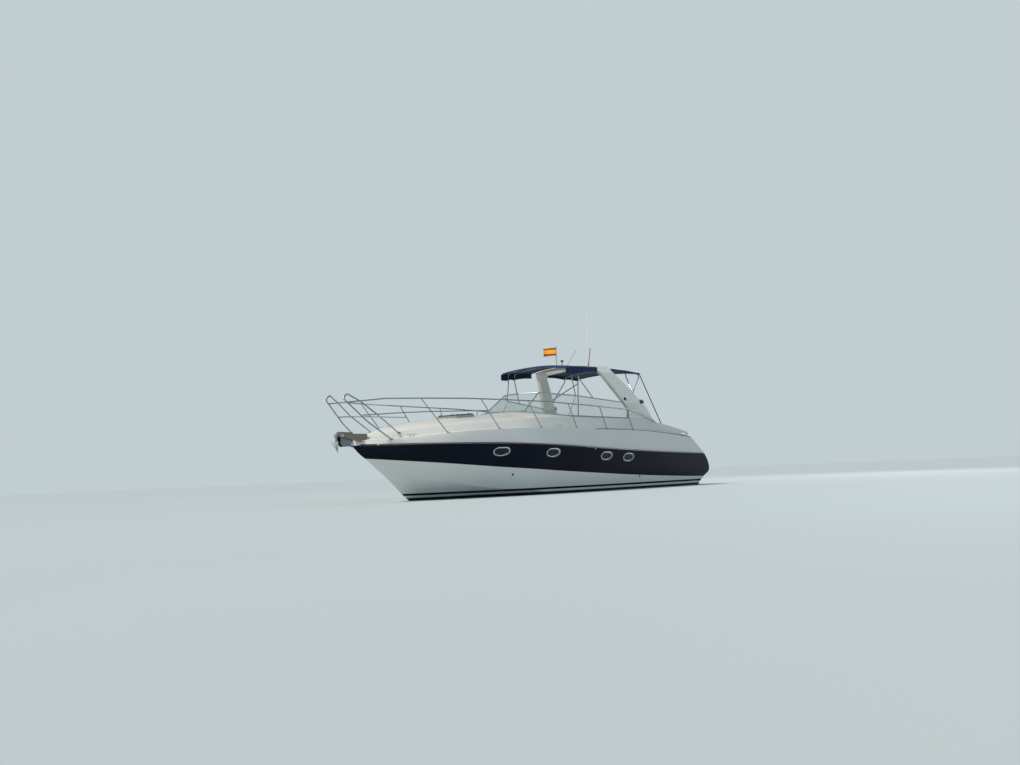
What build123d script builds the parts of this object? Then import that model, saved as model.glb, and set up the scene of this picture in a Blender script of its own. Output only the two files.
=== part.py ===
from build123d import *
from collections import namedtuple
from math import atan2, cos, degrees, pi, radians, sin, tan
import os

# Open sports cruiser afloat at rest, sizes in millimetres.
# +X points to the bow, +Y to port, +Z up.
# The origin is on the waterline, on the centreline, at the foot of the transom.

# Table of offsets: half of each cross-section, from the keel up to the crown of the deck
Station = namedtuple("Station", (
    "x", "keel_z", "chine_y", "chine_z", "sheer_y", "sheer_z", "edge_y", "edge_z",
    "foot_y", "foot_z", "knuckle_y", "knuckle_z", "crown_z"))
STATIONS = (
    Station(-560, -575, 1265, -130, 1450, 795, 1400, 1215, 1330, 1220, 1310, 1260, 1280),
    Station(0, -575, 1290, -130, 1500, 820, 1450, 1245, 1375, 1250, 1345, 1330, 1350),
    Station(1200, -578, 1335, -125, 1592, 862, 1515, 1330, 1405, 1340, 1365, 1530, 1555),
    Station(2600, -580, 1375, -115, 1668, 908, 1580, 1415, 1425, 1425, 1375, 1705, 1735),
    Station(4000, -578, 1390, -85, 1705, 965, 1612, 1462, 1425, 1472, 1355, 1742, 1790),
    Station(5300, -562, 1375, -35, 1702, 1032, 1605, 1485, 1395, 1495, 1312, 1748, 1868),
    Station(6500, -520, 1275, 50, 1632, 1100, 1532, 1495, 1312, 1505, 1222, 1740, 1935),
    Station(7600, -440, 1095, 165, 1492, 1145, 1392, 1486, 1162, 1500, 1062, 1665, 1822),
    Station(8700, -310, 810, 300, 1262, 1170, 1165, 1448, 932, 1464, 832, 1600, 1752),
    Station(9600, 0, 490, 430, 985, 1180, 900, 1375, 672, 1395, 572, 1530, 1668),
    Station(10300, 555, 90, 600, 672, 1184, 600, 1312, 400, 1338, 330, 1440, 1560),
    Station(10850, 925, 26, 945, 360, 1186, 312, 1294, 200, 1312, 150, 1352, 1400),
    Station(11130, 1140, 12, 1152, 62, 1188, 50, 1288, 34, 1292, 26, 1297, 1302))

# Stern seen from the side, from the waterline aft and up to the cockpit coaming
TRANSOM_X = 0
PLATFORM_TIP_X = -500
PLATFORM_TOP_Z = 450
PLATFORM_FRONT_X = 520
PLATFORM_CORNER_R = 260
QUARTER_THICK = 110
QUARTER_RAKE = 120
PLATFORM_CORNER_BULGE = 30
STERN_LIP = 60
STERN_PROFILE = (
    (TRANSOM_X, 60), (-215, 230), (-440, 335), (PLATFORM_TIP_X, 430),
    (-320, 650), (-60, 840), (320, 1105), (560, 1280))

# Shell and walls
SHELL_WALL = 70

# Limits beyond the boat, that cuts run out to
OVERHEAD_Z = 2400
BESIDE_Y = 2000
BELOW_Z = -900
ASTERN_X = -900

# Cockpit well
SOLE_Z = 620
SOLE_THICK = 18
SOLE_GAP = 2
FLOOR_Z = SOLE_Z + SOLE_THICK
WELL_AFT_X = 2050
WELL_FRONT_X = 5350
WELL_HALF_WIDTH = 1180
WELL_CORNER_R = 60
PASSAGE_OUTER_Y = 1180
PASSAGE_INNER_Y = 700
PASSAGE_LEAD = 200
GATE_X = 640
GATE_THICK = 30
GATE_HEIGHT = 420
GATE_PIN_R = 9
GATE_PIN_DEPTH = 14

# Engine bay and its lid
BAY_AFT_X = 260
BAY_FRONT_X = 1930
BAY_HALF_WIDTH = 900
BAY_FLOOR_Z = -150
BAY_TOP_Z = SOLE_Z - 90
LID_AFT_X = 700
LID_THICK = 36
LID_TOP_Z = 1130
LID_GAP = 6
LID_SILL = 60
PAD_INSET = 55
PAD_THICK = 95

# Cabin
CABIN_AFT_X = 5450
CABIN_FRONT_X = 9700
CABIN_SOLE_Z = -60
CABIN_SOLE_THICK = 30
CAVITY_PAST = 700
CAVITY_KEEL_SHARE = 1.15
CAVITY_CHINE_SHARE = 0.8
CAVITY_LEAST = 2
DOOR_WIDTH = 560
DOOR_HEIGHT = 980
DOOR_SIDE_Y = -110
DOOR_THICK = 24
DOOR_LAP = 20
TRACK_DEPTH = 14
TRACK_GROOVE = 8
TRACK_WALL = 12
TRACK_END = 10

# Room that a moving piece keeps from its neighbours
RUN_GAP = 5
GATE_AXIS_Y = PASSAGE_INNER_Y + RUN_GAP + GATE_THICK / 2
GATE_END_GAP = 6

# Seat of a piece on another, and running clearance of a turning shaft
SEAT_GAP = 0.3
SHAFT_GAP = 0.05

# Engines, as plain blocks
ENGINE_SIZE = (980, 700, 660)
ENGINE_X = 1050
DRIVE_Y = 430

# Portholes, one row on each side
PORT_XS = (3720, 4640, 6560, 8050)
PORT_DROP = 175
PORT_LENGTH = 450
PORT_HEIGHT = 215
PORT_RIM = 26
PORT_PROUD = 9
PORT_DEPTH = 40
GLASS_THICK = 8

# Rubbing strake along the joint of hull and deck
STRAKE_HEIGHT = 44
STRAKE_PROUD = 20
STRAKE_FRONT_X = 11080

# Windscreen: foot on the deck and head, from the centreline to the aft end
Post = namedtuple("Post", "foot_x foot_y head_x head_y head_z")
WINDSCREEN = (
    Post(6850, 0, 5790, 0, 2385),
    Post(6440, 620, 5700, 520, 2372),
    Post(5330, 1080, 4960, 1060, 2285),
    Post(3080, 1292, 3190, 1275, 2130))
SCREEN_GLASS = 8
SCREEN_STRIPS = 6
SCREEN_RAIL_R = 16
SCREEN_POST_R = 13
SCREEN_BEND = 60
SCREEN_BASE_HEIGHT = 34
SCREEN_BASE_WIDTH = 40
SCREEN_FOOT_R = 23
SCREEN_FOOT_HEIGHT = 38

# Radar arch: side view of its legs, and front view from the deck up to its top corner.
# Above its bend each leg turns inboard towards the bow.
ARCH_PROFILE = (
    (3460, 3120), (3440, 2930), (3190, 2680), (2760, 2200), (2420, 1935), (1880, 1560), (3200, 1560),
    (3110, 1930), (3285, 2150), (3555, 2512), (3790, 2845), (3980, 3010), (3990, 3120))
ArchRow = namedtuple("ArchRow", "y z wall_share drop_share turned")
ARCH_FRONT = (
    ArchRow(1430, 1400, 1.3, 0, 0), ArchRow(1360, 1760, 1.3, 0, 0), ArchRow(1300, 2120, 1.2, 0, 1),
    ArchRow(1100, 2890, 1.1, 0, 1), ArchRow(1020, 3040, 1, 0.8, 1))
ARCH_CROWN = 75
ARCH_THICK = 84
ARCH_TURN = 0.2
ARCH_TURN_X = 3370
ARCH_REACH = (1500, 4500)

# Canvas tops: sections from aft to forward, with hanging sides and a crowned roof
CANVAS_THICK = 12
CanvasRow = namedtuple("CanvasRow", "x half_width hem_z side_z crown_z")
FORWARD_CANVAS = (
    CanvasRow(3992, 1045, 2890, 3005, 3115), CanvasRow(5000, 1035, 2800, 2990, 3082),
    CanvasRow(5180, 1025, 2800, 2975, 3055), CanvasRow(5240, 1015, 2815, 2930, 3005))
AFT_CANVAS = (
    CanvasRow(2080, 1000, 2880, 2935, 3010), CanvasRow(2700, 1015, 2905, 2975, 3070),
    CanvasRow(3480, 1030, 2925, 2995, 3105))
CANVAS_END_DROP = -50
BOW_TUBE_R = 13
BOW_BEND = 80
BOW_SHOULDER = 70
BOW_ROOF_SHARES = (1, 0.62, 0.25)
Bow = namedtuple("Bow", "foot_x foot_y foot_z head_x")
FORWARD_BOWS = (Bow(4965, 1062, 2304.5, 4985), Bow(4390, 1152, 2242, 4740))
AFT_BOWS = (Bow(2905, 1300, 2345, 2112), Bow(2830, 1325, 2265, 2690))
BOW_GAP = 1.4
STRAP_WIDTH = 25
STRAP_THICK = 3
STRAP_HEAD_GAP = 2.1
STRAP_FOOT = (1700, 1330)

# Lamps, aerials and flag staff on the arch
ARCH_LAMP_R = 62
ARCH_LAMP_LENGTH = 70
ARCH_LAMP_Z = 2150
ARCH_LAMP_OUT = 85
Aerial = namedtuple("Aerial", "x y lean height radius base_radius base_height")
AERIALS = (
    Aerial(3700, 580, 0, 1310, 9, 26, 60), Aerial(3860, 675, -13, 455, 10, 22, 40),
    Aerial(3750, -100, -45, 640, 4, 16, 30))
AERIAL_FOOT_TAPER = 0.7
MAST_LIGHT = (3700, -265)
MAST_LIGHT_R = 36
MAST_LIGHT_HEIGHT = 300
MAST_LAMP_HEIGHT = 50
STAFF = (3700, -440)
STAFF_R = 7
STAFF_HEIGHT = 560
STAFF_SOCKET = (17, 40)
STAFF_KNOB_R = 11
FLAG_SIZE = (330, 200)
FLAG_THICK = 4
FLAG_HEADING = -60

# Guard rails: top rail, from the bow back to its aft end
RailPoint = namedtuple("RailPoint", "x y z")
TOP_RAIL = (
    RailPoint(11560, 262, 2050), RailPoint(11300, 400, 2072), RailPoint(10800, 610, 2120),
    RailPoint(10000, 925, 2120), RailPoint(9000, 1180, 2122), RailPoint(8000, 1290, 2110),
    RailPoint(6500, 1385, 2088), RailPoint(4800, 1440, 2020), RailPoint(3450, 1462, 1955),
    RailPoint(3000, 1465, 1900), RailPoint(2120, 1425, 1640))
RAIL_R = 14
STANCHION_R = 12
Stanchion = namedtuple("Stanchion", "foot_x head_x")
STANCHIONS = (
    Stanchion(9320, 10060), Stanchion(8020, 8560), Stanchion(6800, 7120),
    Stanchion(5600, 5720), Stanchion(4460, 4540), Stanchion(3330, 3440))
MID_RAIL = (
    RailPoint(11190, 345, 1790), RailPoint(10500, 700, 1825), RailPoint(9782, 948, 1848),
    RailPoint(8355, 1262, 1865))
RAIL_BEND = 300
HOOP_BEND = 45
HOOP_TOP = (11520, 258, 2225)
HOOP_FRONT = (11630, 262, 2130)
HOOP_FRONT_LEG = ((11085, 372, 1660), (10530, 475))
HOOP_REAR_LEG = ((11235, 330, 2075), (10840, 392, 1812), (10210, 370))
FOOT_R = 30
FOOT_INSET = 38
FOOT_HEIGHT = 12

# Bow platform, anchor and their fittings
BOW_PLATFORM_TIP_X = 11540
BOW_PLATFORM_ROOT_X = 10900
BOW_PLATFORM_HALF_WIDTH = 150
BOW_PLATFORM_THICK = 60
BOW_PLATFORM_TOP_Z = 1425
BOW_KNEE = (30, 100)
BOW_SLOT_HALF_WIDTH = 48
BOW_SLOT_AFT_X = 11130
ROLLER_R = 38
ROLLER_X = 11470
ROLLER_Z = 1390
ROLLER_PIN_R = 9
ROLLER_SIDE_GAP = 4
CHEEK_THICK = 8
CHEEK_INSET = 4
CHEEK_AFT = (290, 200)
CHEEK_DEPTH = (130, 200, 190)
CHEEK_NOSE = 70
STAY_SIZE = 30
ANCHOR_SHANK_THICK = 22
SHANK_START = -300
SHANK_OUTLINE = ((60, 0), (118, -60), (128, -300), (168, -300), (172, -20), (110, 44))
SHANK_HEIGHT = 34
PLOUGH = ((95, 0, -392), (190, 118, -150), (148, 0, -160), (172, 0, -250))

# Foredeck hatch and anchor locker
HATCH_X = 8040
HATCH_SIZE = 600
HATCH_CLEAR = 500
HATCH_CUT = 400
HATCH_LID_INSET = 10
HATCH_FRAME_R = 20
HATCH_LID_R = 60
HATCH_FRAME_HEIGHT = 42
HATCH_LID_THICK = 22
LOCKER_AFT_X = 10250
LOCKER_FRONT_X = 10760
LOCKER_HALF_WIDTH = 150
LOCKER_LID_THICK = 26
LOCKER_SILL = 25
LOCKER_FLOOR_Z = 1120

# Stern drives
PROP_SHAFT_Z = -640
PROP_R = 185
PROP_HUB_R = 48
PROP_SHAFT_R = 18

MOUNT_PLATE = (50, 330, 370)
MOUNT_PLATE_Z = -150
MOUNT_CORNER_R = 60
LUG_REACH = 110
LUG_THICK = 26
LUG_WIDTH = 90
STEER_PIN_R = 14
STEER_X = -115
YOKE_WIDTH = 150
YOKE_EAR = 24
YOKE_STEM_R = 32
YOKE_BACK = (30, 130)
YOKE_EAR_X = 105
YOKE_EAR_HEIGHT = 110
TILT_PIN_R = 12
TILT_X = -235
TILT_Z = -150
PLATE_DROP = -115
TILT_BARREL_R = 40
LEG_X = TILT_X + 40
LEG_WIDTH = 84
LEG_PROFILE = (
    (-70, -60), (-200, 10), (-330, 10), (-420, -120), (-440, -250), (-590, -262), (-590, -282), (-430, -290),
    (-400, -470), (-330, -690), (-250, -690), (-170, -420), (-150, -280), (-95, -275), (-95, -255),
    (-60, -240), (-40, -60))
PLATE_HALF_WIDTH = 125
VENT_PLATE = (-600, -140)
VENT_HALF = 10
SKEG = ((-520, 0), (-480, -190), (-400, -190), (-300, 0))
SKEG_HALF = 9
TORPEDO_NOSE = 110
TORPEDO_R = 58
TORPEDO_SPAN = (-600, -230)
PROP_SHAFT_DEPTH = 60
PROP_HUB_LENGTH = 120
PROP_BLADES = 3
PROP_PITCH = 480
BLADE_CHORD = 150
BLADE_THICK = 9
BladeRow = namedtuple("BladeRow", "radius chord")
BLADE_ROWS = (BladeRow(0.195, 0.6), BladeRow(0.65, 1), BladeRow(1, 0.45))
HUB_TAPER = 0.8
TAB_SIZE = (290, 360, 8)
TAB_Y = 1040

# Helm
CONSOLE_X = (4960, WELL_FRONT_X)
CONSOLE_Y = (-1120, -150)
CONSOLE_KNEE_Z = 1300
CONSOLE_TOP_Z = 1620
CONSOLE_TOE = 110
CONSOLE_SHIN = (20, 420)
DASH_RISE = 40
HOOD_OUTLINE = ((150, -30), (170, 90), (300, 60), (330, -30))
HOOD_HALF_WIDTH = 330
WHEEL_R = 185
WHEEL_RIM_R = 16
WHEEL_SPOKES = 3
WHEEL_HUB_R = 42
WHEEL_HUB_LENGTH = 44
SPOKE_SIZE = (26, 8)
WHEEL_SHAFT_R = 14
WHEEL_Y = -600
WHEEL_X = 4895
WHEEL_Z = 1465
WHEEL_STAND_OFF = 95
WHEEL_RAKE = 24
WHEEL_SHAFT_DEPTH = 60
THROTTLE_OUT = 20
THROTTLE_SIDE = 300
THROTTLE_BOX = (110, 90, 120)
LEVER_HEIGHT = 120
LEVER_LEAN = 30
LEVER_R = 7
LEVER_KNOB_R = 15
SEAT_X = (3850, 4420)
SEAT_Y = (-1090, -190)
SEAT_BASE_Z = 1010
LOUNGE_X = (2900, 5150)
LOUNGE_Y = (560, 1172)
LOUNGE_BASE_Z = 960
BENCH_X = (WELL_AFT_X + 12, 2650)
BENCH_Y = (-1168, 640)
BENCH_BASE_Z = 930
TOE_DEPTH = 60
TOE_HEIGHT = 90
SEAT_CORNER_R = 40
CUSHION_THICK = 120
CUSHION_R = 35
CUSHION_INSET = 10
BACK_THICK = 130
BACK_GAP = 3
BACK_HEIGHT = 470
SOFT_GAP = 0.5
TABLE_X = 3180
TABLE_Y = -420
TABLE_SIZE = (620, 760, 28)
TABLE_Z = 1290
TABLE_POST_R = 34
TABLE_CORNER_R = 70
TABLE_FOOT = (116, 20)

# Deck cleats: place in plan
Cleat = namedtuple("Cleat", "x y")
CLEATS = (Cleat(10080, 620), Cleat(6200, 1505), Cleat(820, 1405))
CLEAT_LENGTH = 220
CLEAT_HEIGHT = 46
CLEAT_BAR_R = 10
CLEAT_POST_R = 11
CLEAT_POST_SPREAD = 80


def along(column, x):
    """A column of the table of offsets, read at station x by straight lines."""
    for near, far in zip(STATIONS, STATIONS[1:]):
        if near.x <= x <= far.x:
            share = (x - near.x) / (far.x - near.x)
            return getattr(near, column) * (1 - share) + getattr(far, column) * share
    raise ValueError("station outside the boat")


def section_face(station):
    """One closed cross-section: straight panels below, an arc for the crown of the deck."""
    port = [(0, station.keel_z), (station.chine_y, station.chine_z),
            (station.sheer_y, station.sheer_z), (station.edge_y, station.edge_z),
            (station.foot_y, station.foot_z), (station.knuckle_y, station.knuckle_z)]
    port_side = Polyline([(station.x, y, z) for y, z in port])
    starboard_side = Polyline([(station.x, -y, z) for y, z in reversed(port)])
    crown = ThreePointArc(
        (station.x, station.knuckle_y, station.knuckle_z), (station.x, 0, station.crown_z),
        (station.x, -station.knuckle_y, station.knuckle_z))
    return make_face([*port_side.edges(), crown, *starboard_side.edges()])


def side_plate(points, half_width, centre_y=0):
    """A shape drawn in side view, given as (x, z) points, and carried across the boat."""
    outline = make_face(Polyline([(x, 0, z) for x, z in points], close=True))
    return Pos(0, centre_y, 0) * extrude(outline, half_width, dir=(0, 1, 0), both=True)


def block(x, y, z):
    """A box given by its span along each axis."""
    return Pos((x[0] + x[1]) / 2, (y[0] + y[1]) / 2, (z[0] + z[1]) / 2) * Box(
        x[1] - x[0], y[1] - y[0], z[1] - z[0])


def rod(start, end, radius):
    """A round bar from one point to another."""
    path = Edge.make_line(start, end)
    return extrude(Plane(origin=start, z_dir=path % 0) * Circle(radius), path.length)


def tube(points, radius, bend):
    """A round tube along straight runs joined by arcs."""
    path = FilletPolyline(*points, radius=bend)
    return sweep(Plane(origin=points[0], z_dir=path % 0) * Circle(radius), path=path)


def mirrored(shape):
    """The same piece on the other side of the boat."""
    return shape.mirror(Plane.XZ)


def both_sides(shape):
    """A piece and its twin on the other side, as separate solids."""
    return Compound(children=[*shape.solids(), *mirrored(shape).solids()])


def body_block():
    """Hull and deck in one, before the joint between them is cut."""
    return loft([section_face(station) for station in STATIONS])


def below_sheer():
    """Everything under the joint of hull and deck, which is level across the boat."""
    first, last = STATIONS[0], STATIONS[-1]
    sheer = Spline([(station.x, 0, station.sheer_z) for station in STATIONS])
    low = first.keel_z - SHELL_WALL
    rest = Polyline((last.x, 0, last.sheer_z), (last.x + SHELL_WALL, 0, last.sheer_z),
                    (last.x + SHELL_WALL, 0, low), (first.x - SHELL_WALL, 0, low),
                    (first.x - SHELL_WALL, 0, first.sheer_z), (first.x, 0, first.sheer_z))
    outline = make_face([sheer, *rest.edges()])
    return extrude(outline, 2 * WELL_HALF_WIDTH, dir=(0, 1, 0), both=True)


def stern_cut():
    """What lies aft of the stern's profile, above and below the platform's tip."""
    top_x, top_z = STERN_PROFILE[-1]
    points = [(TRANSOM_X, BELOW_Z), *STERN_PROFILE, (top_x - STERN_LIP, top_z + STERN_LIP),
              (top_x - STERN_LIP, OVERHEAD_Z), (ASTERN_X, OVERHEAD_Z), (ASTERN_X, BELOW_Z)]
    return side_plate(points, 2 * WELL_HALF_WIDTH)


def platform_corner_cut():
    """The round corners of the bathing platform, seen in plan."""
    half = along("sheer_y", 0)
    front = PLATFORM_TIP_X + PLATFORM_CORNER_R
    round_r = PLATFORM_CORNER_R + PLATFORM_CORNER_BULGE
    cut = block((ASTERN_X, front), (half - PLATFORM_CORNER_R, 2 * half), (0, 2 * PLATFORM_TOP_Z))
    keep = Pos(front, half - round_r, PLATFORM_TOP_Z) * Cylinder(round_r, 3 * PLATFORM_TOP_Z)
    corner = cut - keep
    return corner + mirrored(corner)


def cavity(wall, low_x, high_x, low_z, high_z):
    """The space inside a shell of even thickness, between two bulkheads and two heights."""
    inner = []
    for s in STATIONS:
        if s.x <= CABIN_FRONT_X + CAVITY_PAST:
            inner.append(Station(
                s.x, s.keel_z + wall * CAVITY_KEEL_SHARE, max(s.chine_y - wall, CAVITY_LEAST),
                s.chine_z + wall * CAVITY_CHINE_SHARE, max(s.sheer_y - wall, 2 * CAVITY_LEAST), s.sheer_z,
                s.edge_y - wall, s.edge_z - wall, s.foot_y - wall, s.foot_z - wall,
                s.knuckle_y - wall, s.knuckle_z - wall, s.crown_z - wall))
    room = block((low_x, high_x), (-BESIDE_Y, BESIDE_Y), (low_z, high_z))
    return loft([section_face(station) for station in inner]) & room


def well_cut():
    """The cockpit, open to the sky, with the passage to the bathing platform on its port side."""
    half = WELL_HALF_WIDTH
    well = block((WELL_AFT_X, WELL_FRONT_X), (-half, half), (SOLE_Z, OVERHEAD_Z))
    well = fillet(well.edges().filter_by(Axis.Z), WELL_CORNER_R)
    passage = block((PLATFORM_FRONT_X - PASSAGE_LEAD, WELL_AFT_X + 2 * WELL_CORNER_R),
                    (PASSAGE_INNER_Y, PASSAGE_OUTER_Y), (SOLE_Z, OVERHEAD_Z))
    return well + passage


def aft_deck_cut():
    """The level top of the transom, and in it the seat of the engine lid."""
    level = block((PLATFORM_FRONT_X - PASSAGE_LEAD, WELL_AFT_X + 1),
                  (-WELL_HALF_WIDTH, PASSAGE_INNER_Y + 1), (LID_TOP_Z, OVERHEAD_Z))
    seat = block((LID_AFT_X - LID_GAP, WELL_AFT_X + 1),
                 (-WELL_HALF_WIDTH + LID_GAP, PASSAGE_INNER_Y - LID_GAP), (LID_TOP_Z - LID_THICK, OVERHEAD_Z))
    return level + seat


def platform_cut():
    """The open space over the bathing platform, between the two quarters."""
    half = along("edge_y", 0) - QUARTER_THICK
    return side_plate(((ASTERN_X, PLATFORM_TOP_Z), (PLATFORM_FRONT_X, PLATFORM_TOP_Z),
                       (LID_AFT_X - QUARTER_RAKE, OVERHEAD_Z), (ASTERN_X, OVERHEAD_Z)), half)


def bay_cut():
    """The engine bay, with its sill for the lid."""
    bay = block((BAY_AFT_X, BAY_FRONT_X), (-BAY_HALF_WIDTH, BAY_HALF_WIDTH), (BAY_FLOOR_Z, BAY_TOP_Z))
    hatchway = block((LID_AFT_X + LID_SILL, BAY_FRONT_X),
                     (-WELL_HALF_WIDTH + LID_SILL, PASSAGE_INNER_Y - LID_SILL), (BAY_TOP_Z - 1, OVERHEAD_Z))
    return bay + hatchway


def door_opening():
    """The way from the cockpit into the cabin."""
    return block((WELL_FRONT_X - 1, CABIN_AFT_X + 1), (DOOR_SIDE_Y, DOOR_SIDE_Y + DOOR_WIDTH),
                 (SOLE_Z, SOLE_Z + DOOR_HEIGHT))


def hatch_frame_place():
    """Where the foredeck hatch sits: on the crown, tilted with the slope of the deck."""
    slope = atan2(along("crown_z", HATCH_X - HATCH_SIZE / 2) - along("crown_z", HATCH_X + HATCH_SIZE / 2),
                  HATCH_SIZE)
    return Pos(HATCH_X, 0, along("crown_z", HATCH_X)) * Rot(0, degrees(slope), 0)


def locker_prism(grow):
    """The outline of the anchor locker's lid in plan, made larger all round."""
    return block((LOCKER_AFT_X - grow, LOCKER_FRONT_X + grow),
                 (-LOCKER_HALF_WIDTH - grow, LOCKER_HALF_WIDTH + grow), (LOCKER_FLOOR_Z, OVERHEAD_Z))


def gate_pin(grow):
    """The pin that the transom gate turns on, let into the floor of the passage."""
    return Pos(GATE_X, GATE_AXIS_Y, SOLE_Z) * Cylinder(GATE_PIN_R + grow, 2 * GATE_PIN_DEPTH + 2 * RUN_GAP)


def hull_and_deck():
    """The two mouldings, face to face along the sheer, with every opening cut."""
    form = body_block()
    body = form - stern_cut() - platform_corner_cut() - platform_cut()
    body -= well_cut() + aft_deck_cut()
    body -= bay_cut()
    body -= cavity(SHELL_WALL, CABIN_AFT_X, CABIN_FRONT_X, CABIN_SOLE_Z - CABIN_SOLE_THICK,
                   OVERHEAD_Z)
    body -= door_opening() + gate_pin(SHAFT_GAP)
    body -= hatch_frame_place() * Box(HATCH_CLEAR, HATCH_CLEAR, HATCH_CUT)
    body -= locker_prism(LID_GAP) - Pos(0, 0, -LOCKER_LID_THICK - SEAT_GAP) * form
    body -= locker_prism(-LOCKER_SILL) & Pos(0, 0, -LOCKER_LID_THICK) * form & block(
        (LOCKER_AFT_X, LOCKER_FRONT_X), (-LOCKER_HALF_WIDTH, LOCKER_HALF_WIDTH), (LOCKER_FLOOR_Z, OVERHEAD_Z))
    for x in PORT_XS:
        body -= port_plug(form, x, 1, PORT_LENGTH, PORT_HEIGHT, SHELL_WALL * 3, -SHELL_WALL * 2)
        body -= port_plug(form, x, -1, PORT_LENGTH, PORT_HEIGHT, SHELL_WALL * 3, -SHELL_WALL * 2)
    low = below_sheer()
    return form, body & low, body - low


def outer_skin(form, x, z, side):
    """The point on the boat's side at a station and height, and the way out of it."""
    hits = form.find_intersection_points(Axis((x, 0, z), (0, side, 0)))
    point, normal = max(hits, key=lambda hit: side * hit[0].Y)
    return point, normal if normal.Y * side > 0 else -normal


def deck_top(form, x, y):
    """The height of the deck at a place in plan."""
    return max(hit[0].Z for hit in form.find_intersection_points(Axis((x, y, BELOW_Z), (0, 0, 1))))


def port_plug(form, x, side, length, height, depth, start):
    """A prism of a porthole's oval outline, from one distance out of the skin, inwards or out."""
    point, normal = outer_skin(form, x, along("sheer_z", x) - PORT_DROP, side)
    across = Vector(0, 0, 1).cross(normal)
    plane = Plane(origin=point + normal * start, x_dir=across, z_dir=normal)
    return extrude(plane * SlotOverall(length, height), depth)


def port_frames(form):
    """Chromed oval rims, let into the sides of the hull."""
    rims = []
    for x in PORT_XS:
        for side in (1, -1):
            outer = port_plug(form, x, side, PORT_LENGTH, PORT_HEIGHT, PORT_DEPTH + PORT_PROUD, -PORT_DEPTH)
            inner = port_plug(form, x, side, PORT_LENGTH - 2 * PORT_RIM, PORT_HEIGHT - 2 * PORT_RIM,
                              2 * PORT_DEPTH + PORT_PROUD, -1.5 * PORT_DEPTH)
            rims.append(outer - inner)
    return Compound(children=[solid for rim in rims for solid in rim.solids()])


def port_glass(form):
    """The dark panes inside the rims."""
    panes = []
    for x in PORT_XS:
        for side in (1, -1):
            panes += port_plug(form, x, side, PORT_LENGTH - 2 * PORT_RIM - 2 * SEAT_GAP,
                               PORT_HEIGHT - 2 * PORT_RIM - 2 * SEAT_GAP, GLASS_THICK,
                               -GLASS_THICK - PORT_PROUD).solids()
    return Compound(children=panes)


def rub_strake(form):
    """The strake along the joint of hull and deck, one strip on each side."""
    strip = []
    for station in STATIONS[1:]:
        point, _ = outer_skin(form, min(station.x, STRAKE_FRONT_X), along("sheer_z", station.x), 1)
        low, high = point.Z - STRAKE_HEIGHT / 2, point.Z + STRAKE_HEIGHT / 2
        root, face, slope = point.Y - STRAKE_PROUD, point.Y + STRAKE_PROUD, STRAKE_PROUD / 2
        outline = ((root, low), (face, low + slope), (face, high - slope), (root, high))
        strip.append(make_face(Polyline([(point.X, y, z) for y, z in outline], close=True)))
    port = loft(strip) - form
    return both_sides(port)


def rail_side(form, deck):
    """Bow hoop, top and mid rails and their stanchions on the port side, welded into one."""
    top = tube([tuple(p) for p in TOP_RAIL], RAIL_R, RAIL_BEND)
    front_foot, rear_foot = HOOP_FRONT_LEG[-1], HOOP_REAR_LEG[-1]
    hoop = tube([(*rear_foot, deck_top(form, *rear_foot) - FOOT_HEIGHT), HOOP_REAR_LEG[1], HOOP_REAR_LEG[0],
                 HOOP_TOP, HOOP_FRONT, HOOP_FRONT_LEG[0],
                 (*front_foot, deck_top(form, *front_foot) - FOOT_HEIGHT)], RAIL_R, HOOP_BEND)
    mid = tube([tuple(p) for p in MID_RAIL], STANCHION_R, RAIL_BEND)
    frame = top + hoop + mid
    feet = [front_foot, rear_foot]
    for post in STANCHIONS:
        foot_y = along("edge_y", post.foot_x) - FOOT_INSET
        foot_z = deck_top(form, post.foot_x, foot_y)
        head = rail_point(post.head_x)
        frame += rod((post.foot_x, foot_y, foot_z - FOOT_HEIGHT), head, STANCHION_R)
        feet.append((post.foot_x, foot_y))
    for x, y in feet:
        frame += Pos(x, y, deck_top(form, x, y)) * Cylinder(FOOT_R, 2 * FOOT_HEIGHT)
    return max((frame - deck).solids(), key=lambda solid: solid.volume)


def rail_point(x):
    """The centre of the top rail at station x."""
    for near, far in zip(TOP_RAIL, TOP_RAIL[1:]):
        if far.x <= x <= near.x:
            share = (x - near.x) / (far.x - near.x)
            return (x, near.y + (far.y - near.y) * share, near.z + (far.z - near.z) * share)
    raise ValueError("station off the rail")


def screen_posts(form):
    """Feet and heads of the windscreen posts, port side: the feet stand on the deck."""
    feet = [(p.foot_x, p.foot_y, deck_top(form, p.foot_x, p.foot_y)) for p in WINDSCREEN]
    heads = [(p.head_x, p.head_y, p.head_z) for p in WINDSCREEN]
    return feet, heads


def other_side(points):
    """The same points on the other side, in the opposite order."""
    return [(x, -y, z) for x, y, z in reversed(points)]


def windscreen_bars(form):
    """Base bars, posts and the head rail."""
    feet, heads = screen_posts(form)
    frame = tube(heads[:0:-1] + [heads[0]] + other_side(heads[:0:-1]), SCREEN_RAIL_R, SCREEN_BEND)
    for side in (1, -1):
        for foot, head in list(zip(feet, heads))[1:]:
            frame += rod((foot[0], side * foot[1], foot[2] - SCREEN_BASE_HEIGHT),
                         (head[0], side * head[1], head[2]), SCREEN_POST_R)
        for near, far in zip(feet, feet[1:]):
            frame += base_bar((near[0], side * near[1], near[2]), (far[0], side * far[1], far[2]))
    return frame


def base_bar(start, end):
    """One straight bar of the windscreen's base, standing on the deck."""
    path = Edge.make_line(start, end)
    plane = Plane(origin=start, x_dir=(end[1] - start[1], start[0] - end[0], 0), z_dir=path % 0)
    bar = extrude(plane * Rectangle(SCREEN_BASE_WIDTH, 2 * SCREEN_BASE_HEIGHT), path.length)
    return bar + Pos(*start) * Cylinder(SCREEN_FOOT_R, 2 * SCREEN_FOOT_HEIGHT)


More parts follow.
